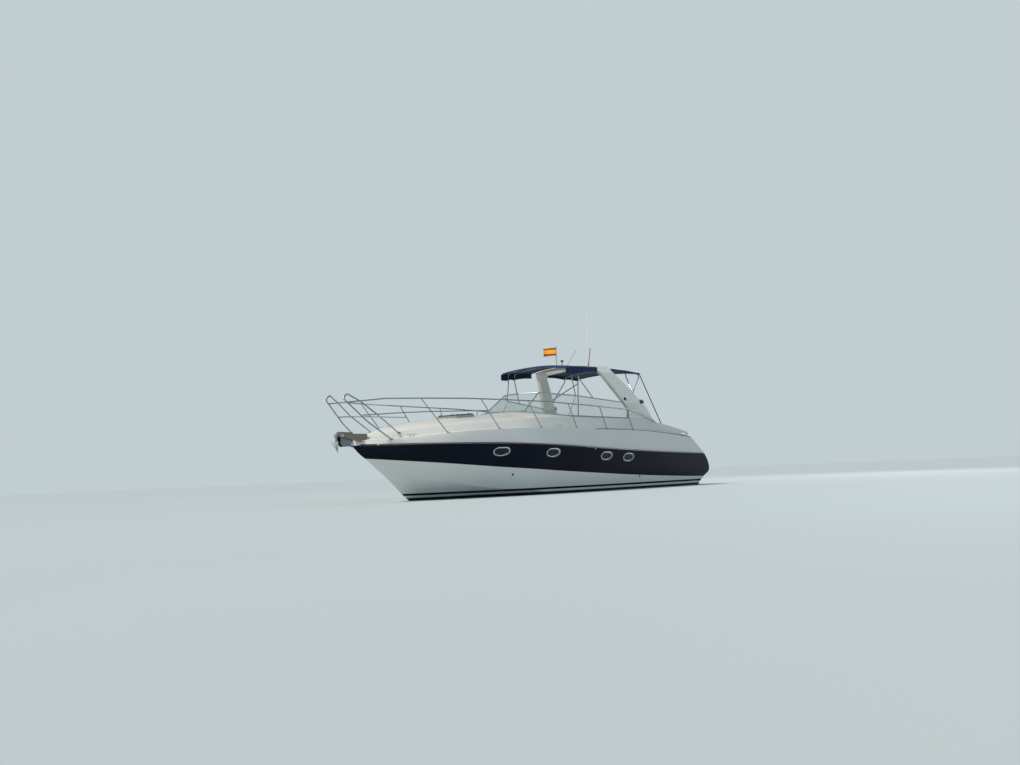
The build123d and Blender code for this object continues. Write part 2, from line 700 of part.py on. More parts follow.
def windscreen_frame(form, deck, arch):
    """The bars welded into one, standing on the deck and against the arch."""
    return max((windscreen_bars(form) - deck - arch).solids(), key=lambda solid: solid.volume)


def pane_edge(foot, head, low_way, high_way, inset):
    """The ends of one upright edge of a pane, clear of its post, the rail and the base."""
    root = foot - Vector(0, 0, SCREEN_BASE_HEIGHT)
    up = (head - root).normalized()
    low = root + up * ((SCREEN_BASE_HEIGHT + SCREEN_FOOT_HEIGHT + SCREEN_GLASS) / up.Z)
    high = head - up * ((SCREEN_RAIL_R + SCREEN_GLASS) / up.cross(high_way).length)
    return (low + low_way * (inset / up.cross(low_way).length),
            high + high_way * (inset / up.cross(high_way).length))


def screen_pane(near, far):
    """A twisted pane between two edges, as flat triangles of one thickness."""
    out = (far[1] - near[0]).cross(far[0] - near[1]).normalized() * (SCREEN_GLASS / 2)
    steps = [step / SCREEN_STRIPS for step in range(SCREEN_STRIPS + 1)]
    low, high = [[start + (end - start) * share - out for share in steps] for start, end in zip(near, far)]
    pane = Part()
    for k in range(SCREEN_STRIPS):
        for trio in ((low[k], low[k + 1], high[k]), (low[k + 1], high[k + 1], high[k])):
            pane += extrude(make_face(Polyline(trio, close=True)), SCREEN_GLASS, dir=out)
    return pane


def windscreen_glass(form, arch):
    """One pane in each bay of the frame, a seat's gap clear of its posts."""
    feet, heads = screen_posts(form)
    clear = SCREEN_POST_R + 2 * SEAT_GAP
    panes = []
    for near in range(len(feet) - 1):
        for side in (1, -1):
            foot, far_foot = [Vector(x, side * y, z) for x, y, z in feet[near:near + 2]]
            head, far_head = [Vector(x, side * y, z) for x, y, z in heads[near:near + 2]]
            low_way, high_way = (far_foot - foot).normalized(), (far_head - head).normalized()
            pane = screen_pane(pane_edge(foot, head, low_way, high_way, clear if near else SCREEN_GLASS / 2),
                               pane_edge(far_foot, far_head, low_way, high_way, -clear))
            panes += (pane - arch).solids()[:1]
    return Compound(children=panes)


def radar_arch(deck):
    """The arch: its raked side view, held between the outer and inner forms of its front view."""
    side = side_plate(ARCH_PROFILE, BESIDE_Y)
    arch = (side & (arch_form(0) - arch_form(ARCH_THICK))) - deck
    return max(arch.solids(), key=lambda solid: solid.volume)


def arch_form(inset):
    """The arch's front view, filled in and carried from aft to forward."""
    return loft([arch_section(inset, x) for x in ARCH_REACH], ruled=True)


def arch_section(inset, x):
    """The arch's front view at station x, taken in by a wall's thickness."""
    side = [(row.y - row.turned * ARCH_TURN * (x - ARCH_TURN_X) - inset * row.wall_share,
             row.z - inset * row.drop_share) for row in ARCH_FRONT]
    port = Polyline([(x, y, z) for y, z in side])
    starboard = Polyline([(x, -y, z) for y, z in reversed(side)])
    (foot_y, foot_z), (head_y, head_z) = side[0], side[-1]
    crown_z = ARCH_FRONT[-1].z + ARCH_CROWN - inset
    crown = ThreePointArc((x, head_y, head_z), (x, 0, crown_z), (x, -head_y, head_z))
    foot = Edge.make_line((x, -foot_y, foot_z), (x, foot_y, foot_z))
    return make_face([*port.edges(), crown, *starboard.edges(), foot])


def canvas_section(x, half, hem_z, side_z, crown_z):
    """A section of a canvas top: hanging sides and a crowned roof."""
    lines = Polyline([(x, -half, side_z), (x, -half, hem_z), (x, half, hem_z), (x, half, side_z)])
    roof = ThreePointArc((x, half, side_z), (x, 0, crown_z), (x, -half, side_z))
    return make_face([*lines.edges(), roof])


def canvas_top(rows, drop):
    """A canvas top as a closed skin: its outside, less the same form one cloth's thickness in."""
    t = CANVAS_THICK
    outer = loft([canvas_section(*row) for row in rows], ruled=True)
    inner = loft([canvas_section(x + (drop if x == rows[0][0] else -t if x == rows[-1][0] else 0), half - t,
                                 hem - 4 * t, side - t, crown - t)
                  for x, half, hem, side, crown in rows], ruled=True)
    return outer - inner


def canopy_forward():
    """The navy canvas between the arch and the front bow, with its drop at the front."""
    return canvas_top(FORWARD_CANVAS, CANVAS_END_DROP)


def canopy_aft(arch):
    """The navy canvas aft of the arch, ending on its trailing edge."""
    return max((canvas_top(AFT_CANVAS, CANVAS_END_DROP) - arch).solids(), key=lambda solid: solid.volume)


def canvas_row(rows, x):
    """The section of a canvas top at station x, read by straight lines."""
    for aft, fore in zip(rows, rows[1:]):
        if aft.x <= x <= fore.x:
            share = (x - aft.x) / (fore.x - aft.x)
            return CanvasRow(*[a * (1 - share) + f * share for a, f in zip(aft, fore)])
    raise ValueError("station off the canvas")


def bow_tube(bow, rows, gap):
    """One canvas bow: up inside the hem, over close under the roof, and down the other side."""
    row = canvas_row(rows, bow.head_x)
    clear = CANVAS_THICK + BOW_TUBE_R + gap
    corner_y = min(near.half_width for near in rows) - clear
    rise = row.crown_z - row.side_z
    under = [(bow.head_x, y, row.crown_z - rise * (y / row.half_width) ** 2 - clear)
             for y in [corner_y * share for share in BOW_ROOF_SHARES]]
    side = [(bow.foot_x, bow.foot_y, bow.foot_z), (bow.head_x, corner_y, row.hem_z - BOW_SHOULDER), *under]
    return tube([*side, *other_side(side)], BOW_TUBE_R, BOW_BEND)


def canopy_bows(arch, screen):
    """The stainless bows under the canvas, each standing on the arch or on the windscreen rail."""
    bows = [bow_tube(bow, FORWARD_CANVAS, BOW_GAP) for bow in FORWARD_BOWS]
    bows += [bow_tube(bow, AFT_CANVAS, BOW_GAP) for bow in AFT_BOWS]
    return Compound(children=[
        max((bow - arch - screen).solids(), key=lambda solid: solid.volume) for bow in bows])


def canopy_straps(form):
    """Webbing from the aft bow down to the coaming, one each side."""
    hem = AFT_CANVAS[0]
    foot = (*STRAP_FOOT, deck_top(form, *STRAP_FOOT))
    head = (hem.x + STRAP_THICK, hem.half_width - CANVAS_THICK / 2, hem.hem_z - STRAP_HEAD_GAP)
    path = Edge.make_line(foot, head)
    plane = Plane(origin=foot, x_dir=(0, 1, 0), z_dir=path % 0)
    strap = extrude(plane * Rectangle(STRAP_WIDTH, STRAP_THICK), path.length)
    return both_sides((strap - form).solids()[0])


def arch_lamps(arch):
    """Round black lamps on the trailing edge of each arch leg."""
    y = ARCH_FRONT[2].y + ARCH_LAMP_OUT
    x = min(hit[0].X for hit in arch.find_intersection_points(Axis((0, y, ARCH_LAMP_Z), (1, 0, 0))))
    lamp = Pos(x, y, ARCH_LAMP_Z) * Rot(0, 90, 0) * Cylinder(ARCH_LAMP_R, 2 * ARCH_LAMP_LENGTH)
    lamp = fillet(lamp.edges(), ARCH_LAMP_R / 5) - arch
    lamp = max(lamp.solids(), key=lambda solid: -solid.center().X)
    return both_sides(lamp)


def arch_top(arch, x, y):
    """The height of the arch's upper face at a place in plan."""
    return max(hit[0].Z for hit in arch.find_intersection_points(Axis((x, y, 0), (0, 0, 1))))


def aerial(arch, row):
    """One aerial on its round foot, leaning aft by its own angle."""
    z = arch_top(arch, row.x, row.y)
    foot = Cone(row.base_radius, row.base_radius * AERIAL_FOOT_TAPER, row.base_height * 2)
    whip = Rot(0, row.lean, 0) * Pos(0, 0, row.height / 2) * Cylinder(row.radius, row.height)
    return max((Pos(row.x, row.y, z) * (foot + whip) - arch).solids(), key=lambda solid: solid.volume)


def masthead_light(arch):
    """The white all-round light on its post."""
    z = arch_top(arch, *MAST_LIGHT)
    post = Cylinder(MAST_LIGHT_R / 3, MAST_LIGHT_HEIGHT)
    lamp_z = (MAST_LIGHT_HEIGHT + MAST_LAMP_HEIGHT) / 2 - 1
    lamp = Pos(0, 0, lamp_z) * Cylinder(MAST_LIGHT_R, MAST_LAMP_HEIGHT)
    return max((Pos(*MAST_LIGHT, z) * (post + lamp) - arch).solids(), key=lambda solid: solid.volume)


def flag_staff(arch):
    """The short staff on the starboard side of the arch."""
    z = arch_top(arch, *STAFF)
    staff = Cylinder(STAFF_R, 2 * STAFF_HEIGHT) + Cylinder(*STAFF_SOCKET)
    knob = Pos(0, 0, STAFF_HEIGHT) * Sphere(STAFF_KNOB_R)
    return max((Pos(*STAFF, z) * (staff + knob) - arch).solids(), key=lambda solid: solid.volume)


def flag(arch):
    """The flag, streaming to starboard from its staff."""
    z = arch_top(arch, *STAFF) + STAFF_HEIGHT - FLAG_SIZE[1] / 2 - 2 * STAFF_R
    length = FLAG_SIZE[0]
    cloth = Pos(STAFF_R + SEAT_GAP + length / 2, 0, 0) * Box(length, FLAG_THICK, FLAG_SIZE[1])
    return Pos(*STAFF, z) * Rot(0, 0, FLAG_HEADING) * cloth


def bow_platform(deck):
    """The teak-topped platform over the stem, with a slot for the anchor."""
    top, low = BOW_PLATFORM_TOP_Z, BOW_PLATFORM_TOP_Z - BOW_PLATFORM_THICK
    stem = STATIONS[-1]
    outline = ((BOW_PLATFORM_ROOT_X, top), (BOW_PLATFORM_TIP_X, top), (BOW_PLATFORM_TIP_X, low),
               (stem.x + BOW_KNEE[0], stem.sheer_z + BOW_KNEE[1]), (BOW_PLATFORM_ROOT_X, stem.sheer_z))
    wedge = side_plate(outline, BOW_PLATFORM_HALF_WIDTH)
    half = BOW_SLOT_HALF_WIDTH + CHEEK_THICK
    slot = block((BOW_SLOT_AFT_X, BOW_PLATFORM_TIP_X + 1), (-half, half), (LOCKER_FLOOR_Z, top + 1))
    return max((wedge - slot - deck).solids(), key=lambda solid: solid.volume)


def bow_roller():
    """Stainless cheeks under the platform's tip, with the roller on its pin between them."""
    low = BOW_PLATFORM_TOP_Z - BOW_PLATFORM_THICK
    top = BOW_PLATFORM_TOP_Z - CHEEK_INSET
    tip = BOW_PLATFORM_TIP_X
    points = ((ROLLER_X - CHEEK_AFT[0], top), (tip, top), (tip, low - CHEEK_DEPTH[0]),
              (tip - CHEEK_NOSE, low - CHEEK_DEPTH[1]), (ROLLER_X - CHEEK_AFT[1], low - CHEEK_DEPTH[2]))
    cheek = side_plate(points, CHEEK_THICK / 2, BOW_SLOT_HALF_WIDTH + CHEEK_THICK / 2)
    pair = cheek + mirrored(cheek)
    pin = Pos(ROLLER_X, 0, ROLLER_Z) * Rot(90, 0, 0) * Cylinder(
        ROLLER_PIN_R, 2 * BOW_SLOT_HALF_WIDTH + 2 * CHEEK_THICK)
    waist = Pos(ROLLER_X, 0, ROLLER_Z) * Rot(90, 0, 0) * Cylinder(
        ROLLER_R, 2 * BOW_SLOT_HALF_WIDTH - 2 * ROLLER_SIDE_GAP)
    stay = Pos(ROLLER_X - CHEEK_AFT[1] + STAY_SIZE / 2, 0, low - CHEEK_DEPTH[2] + STAY_SIZE) * Box(
        STAY_SIZE, 2 * BOW_SLOT_HALF_WIDTH, STAY_SIZE)
    return pair + pin + waist + stay


def anchor():
    """A plough anchor: shank lying over the roller, plough hanging under the platform's tip."""
    over = ROLLER_Z + ROLLER_R + SEAT_GAP
    outline = ((SHANK_START, 0), *SHANK_OUTLINE, (SHANK_START, SHANK_HEIGHT))
    shank = side_plate([(ROLLER_X + x, over + z) for x, z in outline], ANCHOR_SHANK_THICK / 2)
    share = plough_share([Vector(ROLLER_X + x, y, over + z) for x, y, z in PLOUGH])
    return shank + share + mirrored(share)


def plough_share(corners):
    """One share of the plough as a thin four-cornered wedge."""
    sides = ((0, 1, 2), (0, 1, 3), (0, 2, 3), (1, 2, 3))
    return Solid(Shell([make_face(Polyline([corners[i] for i in side], close=True)) for side in sides]))


def cleat(form, deck, row):
    """A horned cleat on two posts, along the side of the boat."""
    z = deck_top(form, row.x, row.y)
    half = CLEAT_LENGTH / 2
    turn = degrees(atan2(along("edge_y", row.x + half) - along("edge_y", row.x - half), CLEAT_LENGTH))
    bar = Rot(0, 90, 0) * Cylinder(CLEAT_BAR_R, CLEAT_LENGTH)
    posts = [Pos(x, 0, -CLEAT_HEIGHT) * Cylinder(CLEAT_POST_R, 2 * CLEAT_HEIGHT)
             for x in (-CLEAT_POST_SPREAD / 2, CLEAT_POST_SPREAD / 2)]
    whole = Pos(row.x, row.y, z + CLEAT_HEIGHT) * Rot(0, 0, turn) * (bar + posts[0] + posts[1])
    return max((whole - deck).solids(), key=lambda solid: solid.volume)


def cleats(form, deck):
    """Three cleats on each side."""
    port = [cleat(form, deck, row) for row in CLEATS]
    return Compound(children=[*port, *[mirrored(piece) for piece in port]])


def deck_hatch(deck):
    """The frame of the foredeck hatch and its smoked lid."""
    place = hatch_frame_place()
    ring = Box(HATCH_SIZE, HATCH_SIZE, 2 * HATCH_FRAME_HEIGHT) - Box(HATCH_CLEAR, HATCH_CLEAR, HATCH_CUT)
    ring = fillet(ring.edges().filter_by(Axis.Z).group_by(SortBy.LENGTH)[0], HATCH_FRAME_R)
    frame = max((place * ring - deck).solids(), key=lambda solid: solid.volume)
    lid_z = HATCH_FRAME_HEIGHT + SEAT_GAP + HATCH_LID_THICK / 2
    lid_size = HATCH_SIZE - 2 * HATCH_LID_INSET
    lid = Box(lid_size, lid_size, HATCH_LID_THICK)
    lid = fillet(lid.edges().filter_by(Axis.Z), HATCH_LID_R)
    return frame, place * Pos(0, 0, lid_z) * lid


def locker_lid(form):
    """The anchor locker's lid, flush with the deck."""
    return (locker_prism(0) & form) - Pos(0, 0, -LOCKER_LID_THICK) * form


def engine_lid():
    """The lid of the engine bay, which carries the sunbathing pad."""
    return block((LID_AFT_X, WELL_AFT_X - LID_GAP),
                 (-WELL_HALF_WIDTH + 2 * LID_GAP, PASSAGE_INNER_Y - 2 * LID_GAP),
                 (LID_TOP_Z - LID_THICK + SEAT_GAP, LID_TOP_Z))


def sun_pad():
    """The pad on the engine lid."""
    return cushion((LID_AFT_X + PAD_INSET, WELL_AFT_X - PAD_INSET),
                   (-WELL_HALF_WIDTH + PAD_INSET, PASSAGE_INNER_Y - PAD_INSET),
                   (LID_TOP_Z + SOFT_GAP, LID_TOP_Z + PAD_THICK))


def transom_gate():
    """The gate in the passage, turning on a pin in its floor."""
    half = GATE_THICK / 2
    panel = block((GATE_X - half, GATE_X + half), (GATE_AXIS_Y, PASSAGE_OUTER_Y - GATE_END_GAP),
                  (SOLE_Z + RUN_GAP, SOLE_Z + GATE_HEIGHT))
    panel += Pos(GATE_X, GATE_AXIS_Y, SOLE_Z + (RUN_GAP + GATE_HEIGHT) / 2) * Cylinder(
        half, GATE_HEIGHT - RUN_GAP)
    pin = Pos(GATE_X, GATE_AXIS_Y, SOLE_Z) * Cylinder(GATE_PIN_R, 2 * GATE_PIN_DEPTH)
    return panel + pin


def cabin_door():
    """The sliding door of the cabin, on the aft side of the bulkhead."""
    face = WELL_FRONT_X - TRACK_GROOVE
    return block((face - DOOR_THICK, face), (DOOR_SIDE_Y - DOOR_LAP, DOOR_SIDE_Y + DOOR_WIDTH + DOOR_LAP),
                 (FLOOR_Z + TRACK_DEPTH + SEAT_GAP, FLOOR_Z + DOOR_HEIGHT + DOOR_LAP))


def door_tracks():
    """The rails above and below that the door runs in."""
    face = WELL_FRONT_X - TRACK_GROOVE
    span = (DOOR_SIDE_Y - DOOR_LAP - TRACK_END, WELL_HALF_WIDTH - WELL_CORNER_R)
    head = FLOOR_Z + DOOR_HEIGHT
    rails = []
    for low, high, groove_low, groove_high in (
            (FLOOR_Z, FLOOR_Z + 2 * TRACK_DEPTH, FLOOR_Z + TRACK_DEPTH, FLOOR_Z + 3 * TRACK_DEPTH),
            (head, head + DOOR_LAP + TRACK_DEPTH, head - TRACK_DEPTH, head + DOOR_LAP + 1)):
        rail = block((face - DOOR_THICK - TRACK_WALL, WELL_FRONT_X), span, (low, high))
        groove = block((face - DOOR_THICK - 1, face + 1), (-BESIDE_Y, BESIDE_Y), (groove_low, groove_high))
        rails += (rail - groove).solids()
    return Compound(children=rails)


def cockpit_sole():
    """The teak-faced floor of the cockpit."""
    half = WELL_HALF_WIDTH - SOLE_GAP
    floor = block((WELL_AFT_X + SOLE_GAP, WELL_FRONT_X - SOLE_GAP), (-half, half), (SOLE_Z, FLOOR_Z))
    return fillet(floor.edges().filter_by(Axis.Z), WELL_CORNER_R)


def cabin_sole():
    """The floor of the cabin, fitted between the sides of the hull."""
    return cavity(SHELL_WALL + SEAT_GAP, CABIN_AFT_X, CABIN_FRONT_X, CABIN_SOLE_Z - CABIN_SOLE_THICK,
                  CABIN_SOLE_Z)


def helm_place():
    """The centre of the steering wheel, its axis pointing aft and up along local Z."""
    return Plane(origin=(WHEEL_X, WHEEL_Y, WHEEL_Z), x_dir=(0, 1, 0),
                 z_dir=(-cos(radians(WHEEL_RAKE)), 0, sin(radians(WHEEL_RAKE))))


def helm_console():
    """The moulded console: a raked wheel face under a hooded dash."""
    aft, front = CONSOLE_X[0], CONSOLE_X[1] - SEAT_GAP
    brow = aft + (CONSOLE_TOP_Z - CONSOLE_KNEE_Z) * tan(radians(WHEEL_RAKE))
    points = ((aft + CONSOLE_TOE, FLOOR_Z), (aft + CONSOLE_SHIN[0], FLOOR_Z + CONSOLE_SHIN[1]),
              (aft, CONSOLE_KNEE_Z), (brow, CONSOLE_TOP_Z), (front, CONSOLE_TOP_Z + DASH_RISE),
              (front, FLOOR_Z))
    half = (CONSOLE_Y[1] - CONSOLE_Y[0]) / 2
    console = side_plate(points, half, CONSOLE_Y[0] + half)
    hood = side_plate([(aft + x, CONSOLE_TOP_Z + z) for x, z in HOOD_OUTLINE], HOOD_HALF_WIDTH, WHEEL_Y)
    bore = helm_place() * Pos(0, 0, -WHEEL_STAND_OFF) * Cylinder(
        WHEEL_SHAFT_R + SHAFT_GAP, 2 * WHEEL_SHAFT_DEPTH + 2)
    return console + hood - bore


def steering_wheel():
    """Rim, spokes, hub and shaft."""
    rim = Torus(WHEEL_R, WHEEL_RIM_R)
    hub = Cylinder(WHEEL_HUB_R, WHEEL_HUB_LENGTH)
    shaft = Pos(0, 0, -(WHEEL_STAND_OFF + WHEEL_SHAFT_DEPTH) / 2) * Cylinder(
        WHEEL_SHAFT_R, WHEEL_STAND_OFF + WHEEL_SHAFT_DEPTH)
    wheel = rim + hub + shaft
    for turn in range(WHEEL_SPOKES):
        spoke = Pos(WHEEL_R / 2, 0, 0) * Box(WHEEL_R, *SPOKE_SIZE)
        wheel += Rot(0, 0, 90 + turn * 360 / WHEEL_SPOKES) * spoke
    return helm_place() * wheel


def throttle_levers(console):
    """The two throttle levers on their box, beside the wheel."""
    x, y, z = CONSOLE_X[0] - THROTTLE_OUT, WHEEL_Y + THROTTLE_SIDE, CONSOLE_KNEE_Z
    length, width, height = THROTTLE_BOX
    half, top = width / 2, z + height
    levers = block((x - LEVER_LEAN, x + length), (y - half, y + half), (z - half, top)) - console
    for lever_y in (y - half / 2, y + half / 2):
        head = (x - LEVER_LEAN, lever_y, top + LEVER_HEIGHT)
        levers += rod((x, lever_y, top - LEVER_R), head, LEVER_R) + Pos(*head) * Sphere(LEVER_KNOB_R)
    return levers


def seat_base(x, y, top):
    """A moulded seat base with a toe recess along its forward foot."""
    base = block(x, y, (FLOOR_Z, top))
    toe = block((x[1] - TOE_DEPTH, x[1] + 1), (y[0] - 1, y[1] + 1), (FLOOR_Z - 1, FLOOR_Z + TOE_HEIGHT))
    return fillet(base.edges().filter_by(Axis.Z), SEAT_CORNER_R) - toe


def cushion(x, y, z):
    """A plain cushion of rounded edges."""
    return fillet(block(x, y, z).edges(), CUSHION_R)


def seat_and_back(base_z, seat_x, seat_y, back_x, back_y):
    """A seat cushion and its back, standing on one base."""
    seat = cushion(seat_x, seat_y, (base_z + SOFT_GAP, base_z + CUSHION_THICK))
    back = cushion(back_x, back_y, (base_z + SOFT_GAP, base_z + BACK_HEIGHT))
    return Compound(children=[*seat.solids(), *back.solids()])


def helm_cushions():
    """Seat and back of the helm seat."""
    across = (SEAT_Y[0] + CUSHION_INSET, SEAT_Y[1] - CUSHION_INSET)
    return seat_and_back(SEAT_BASE_Z, (SEAT_X[0] + BACK_THICK, SEAT_X[1] + CUSHION_INSET), across,
                         (SEAT_X[0], SEAT_X[0] + BACK_THICK - BACK_GAP), across)


def lounge_cushions():
    """Seat and side rest of the lounge opposite the helm."""
    along_side = (LOUNGE_X[0] + CUSHION_INSET, LOUNGE_X[1] - CUSHION_INSET)
    rest = LOUNGE_Y[1] - BACK_THICK
    return seat_and_back(LOUNGE_BASE_Z, along_side, (LOUNGE_Y[0], rest), along_side,
                         (rest + BACK_GAP, LOUNGE_Y[1] - BACK_GAP))


def bench_cushions():
    """Seat and back of the bench across the aft end of the cockpit."""
    across = (BENCH_Y[0] + CUSHION_INSET, BENCH_Y[1] - CUSHION_INSET)
    rest = BENCH_X[0] + BACK_THICK
    return seat_and_back(BENCH_BASE_Z, (rest + BACK_GAP, BENCH_X[1] + CUSHION_INSET), across,
                         (BENCH_X[0] + BACK_GAP, rest), across)


def cockpit_table():
    """The table on its post."""
    top = Pos(TABLE_X, TABLE_Y, TABLE_Z - TABLE_SIZE[2] / 2) * Box(*TABLE_SIZE)
    top = fillet(top.edges().filter_by(Axis.Z), TABLE_CORNER_R)
    height = TABLE_Z - FLOOR_Z
    post = Pos(TABLE_X, TABLE_Y, FLOOR_Z + height / 2) * Cylinder(TABLE_POST_R, height - TABLE_SIZE[2] / 2)
    foot = Pos(TABLE_X, TABLE_Y, FLOOR_Z + TABLE_FOOT[1] / 2) * Cylinder(*TABLE_FOOT)
    return top + post + foot


def engines():
    """The two engines, as plain blocks on the floor of their bay."""
    length, width, height = ENGINE_SIZE
    unit = Pos(ENGINE_X, DRIVE_Y, BAY_FLOOR_Z + height / 2) * Box(length, width, height)
    return both_sides(unit)


def drive_mounts():
    """The housings on the transom, with the lugs that the steering pins turn in."""
    depth, width, height = MOUNT_PLATE
    plate = Pos(-depth / 2, 0, MOUNT_PLATE_Z) * Box(depth, width, height)
    plate = fillet(plate.edges().filter_by(Axis.X), MOUNT_CORNER_R)
    lug_z = MOUNT_PLATE_Z + height / 2 - LUG_THICK
    for z in (lug_z, MOUNT_PLATE_Z - height / 2 + LUG_THICK):
        lug = Pos(-depth - LUG_REACH / 2 + 1, 0, z) * Box(LUG_REACH, LUG_WIDTH, LUG_THICK)
        plate += lug
    pin = Pos(STEER_X, 0, MOUNT_PLATE_Z) * Cylinder(STEER_PIN_R + SHAFT_GAP, height * 2)
    port = Pos(0, DRIVE_Y, 0) * (plate - pin)
    return both_sides(port)


def drive_yoke():
    """The steered yoke between the lugs, with ears for the tilt pins."""
    inner = MOUNT_PLATE[2] - 3 * LUG_THICK - 2 * RUN_GAP
    stem = Pos(STEER_X, 0, MOUNT_PLATE_Z) * Cylinder(YOKE_STEM_R, inner)
    pins = Pos(STEER_X, 0, MOUNT_PLATE_Z) * Cylinder(STEER_PIN_R, inner + 2 * LUG_THICK + 2 * RUN_GAP)
    thick, height = YOKE_BACK
    back = Pos(STEER_X - YOKE_STEM_R - RUN_GAP * 2, 0, TILT_Z) * Box(thick, YOKE_WIDTH + 2 * YOKE_EAR, height)
    yoke = stem + pins + back
    for side in (-1, 1):
        ear = Pos(STEER_X - YOKE_EAR_X, side * (YOKE_WIDTH + YOKE_EAR) / 2, TILT_Z) * Box(
            2 * (YOKE_EAR_X - YOKE_STEM_R) + RUN_GAP, YOKE_EAR, YOKE_EAR_HEIGHT)
        hole = Pos(TILT_X, side * YOKE_WIDTH / 2, TILT_Z) * Rot(90, 0, 0) * Cylinder(
            TILT_PIN_R + SHAFT_GAP, 3 * YOKE_EAR)
        yoke = yoke + ear - hole
    return yoke


def drive_leg():
    """The leg: gear case, anti-ventilation plate, torpedo, skeg and tilt pins."""
    leg = side_plate([(x + LEG_X, z) for x, z in LEG_PROFILE], LEG_WIDTH / 2)
    plate_x, plate_z = (VENT_PLATE[0] + LEG_X, VENT_PLATE[1] + LEG_X), TILT_Z + PLATE_DROP
    plate = block(plate_x, (-PLATE_HALF_WIDTH, PLATE_HALF_WIDTH), (plate_z - VENT_HALF, plate_z + VENT_HALF))
    torpedo_aft, torpedo_fore = TORPEDO_SPAN
    torpedo = rod((torpedo_aft + LEG_X, 0, PROP_SHAFT_Z), (torpedo_fore + LEG_X, 0, PROP_SHAFT_Z), TORPEDO_R)
    nose = Pos(torpedo_fore + LEG_X, 0, PROP_SHAFT_Z) * Rot(0, 90, 0) * Cone(
        TORPEDO_R, TORPEDO_R / 4, TORPEDO_NOSE, align=(Align.CENTER, Align.CENTER, Align.MIN))
    skeg = side_plate([(x + LEG_X, PROP_SHAFT_Z + z) for x, z in SKEG], SKEG_HALF)
    barrel = Pos(TILT_X, 0, TILT_Z) * Rot(90, 0, 0) * Cylinder(TILT_BARREL_R, YOKE_WIDTH - 2 * RUN_GAP)
    pins = Pos(TILT_X, 0, TILT_Z) * Rot(90, 0, 0) * Cylinder(TILT_PIN_R, YOKE_WIDTH + 2 * YOKE_EAR)
    shaft_bore = Pos(torpedo_aft + LEG_X, 0, PROP_SHAFT_Z) * Rot(0, 90, 0) * Cylinder(
        PROP_SHAFT_R + SHAFT_GAP, 2 * PROP_SHAFT_DEPTH + 2)
    return leg + plate + torpedo + nose + skeg + barrel + pins - shaft_bore


def blade_section(radius, chord):
    """One section of a blade, twisted to the propeller's pitch at its radius."""
    angle = degrees(atan2(PROP_PITCH, 2 * pi * radius))
    plane = Plane(origin=(0, 0, radius), x_dir=(sin(radians(angle)), cos(radians(angle)), 0), z_dir=(0, 0, 1))
    return plane * Rectangle(chord, BLADE_THICK)


def propeller():
    """Hub, shaft and twisted blades, turning about the boat's long axis."""
    reach = PROP_HUB_LENGTH
    hub = Rot(0, 90, 0) * Cone(PROP_HUB_R * HUB_TAPER, PROP_HUB_R, reach)
    shaft = Pos(reach / 2 + (RUN_GAP + PROP_SHAFT_DEPTH) / 2, 0, 0) * Rot(0, 90, 0) * Cylinder(
        PROP_SHAFT_R, RUN_GAP + PROP_SHAFT_DEPTH)
    wheel = hub + shaft
    sections = [blade_section(PROP_R * row.radius, BLADE_CHORD * row.chord) for row in BLADE_ROWS]
    blade = loft([Sketch() + section for section in sections])
    for turn in range(PROP_BLADES):
        wheel += Rot(turn * 360 / PROP_BLADES, 0, 0) * blade
    place = TORPEDO_SPAN[0] + LEG_X - RUN_GAP - reach / 2
    return Pos(place, 0, PROP_SHAFT_Z) * wheel


def trim_tabs():
    """Stainless trim tabs at the foot of the transom."""
    length, width, thick = TAB_SIZE
    station = STATIONS[1]
    rise = degrees(atan2(station.chine_z - station.keel_z, station.chine_y))
    z = station.keel_z + (station.chine_z - station.keel_z) * TAB_Y / station.chine_y + 2 * thick
    tab = Pos(-length / 2 - SEAT_GAP, TAB_Y, z) * Rot(rise, 0, 0) * Box(length, width, thick)
    return both_sides(tab)


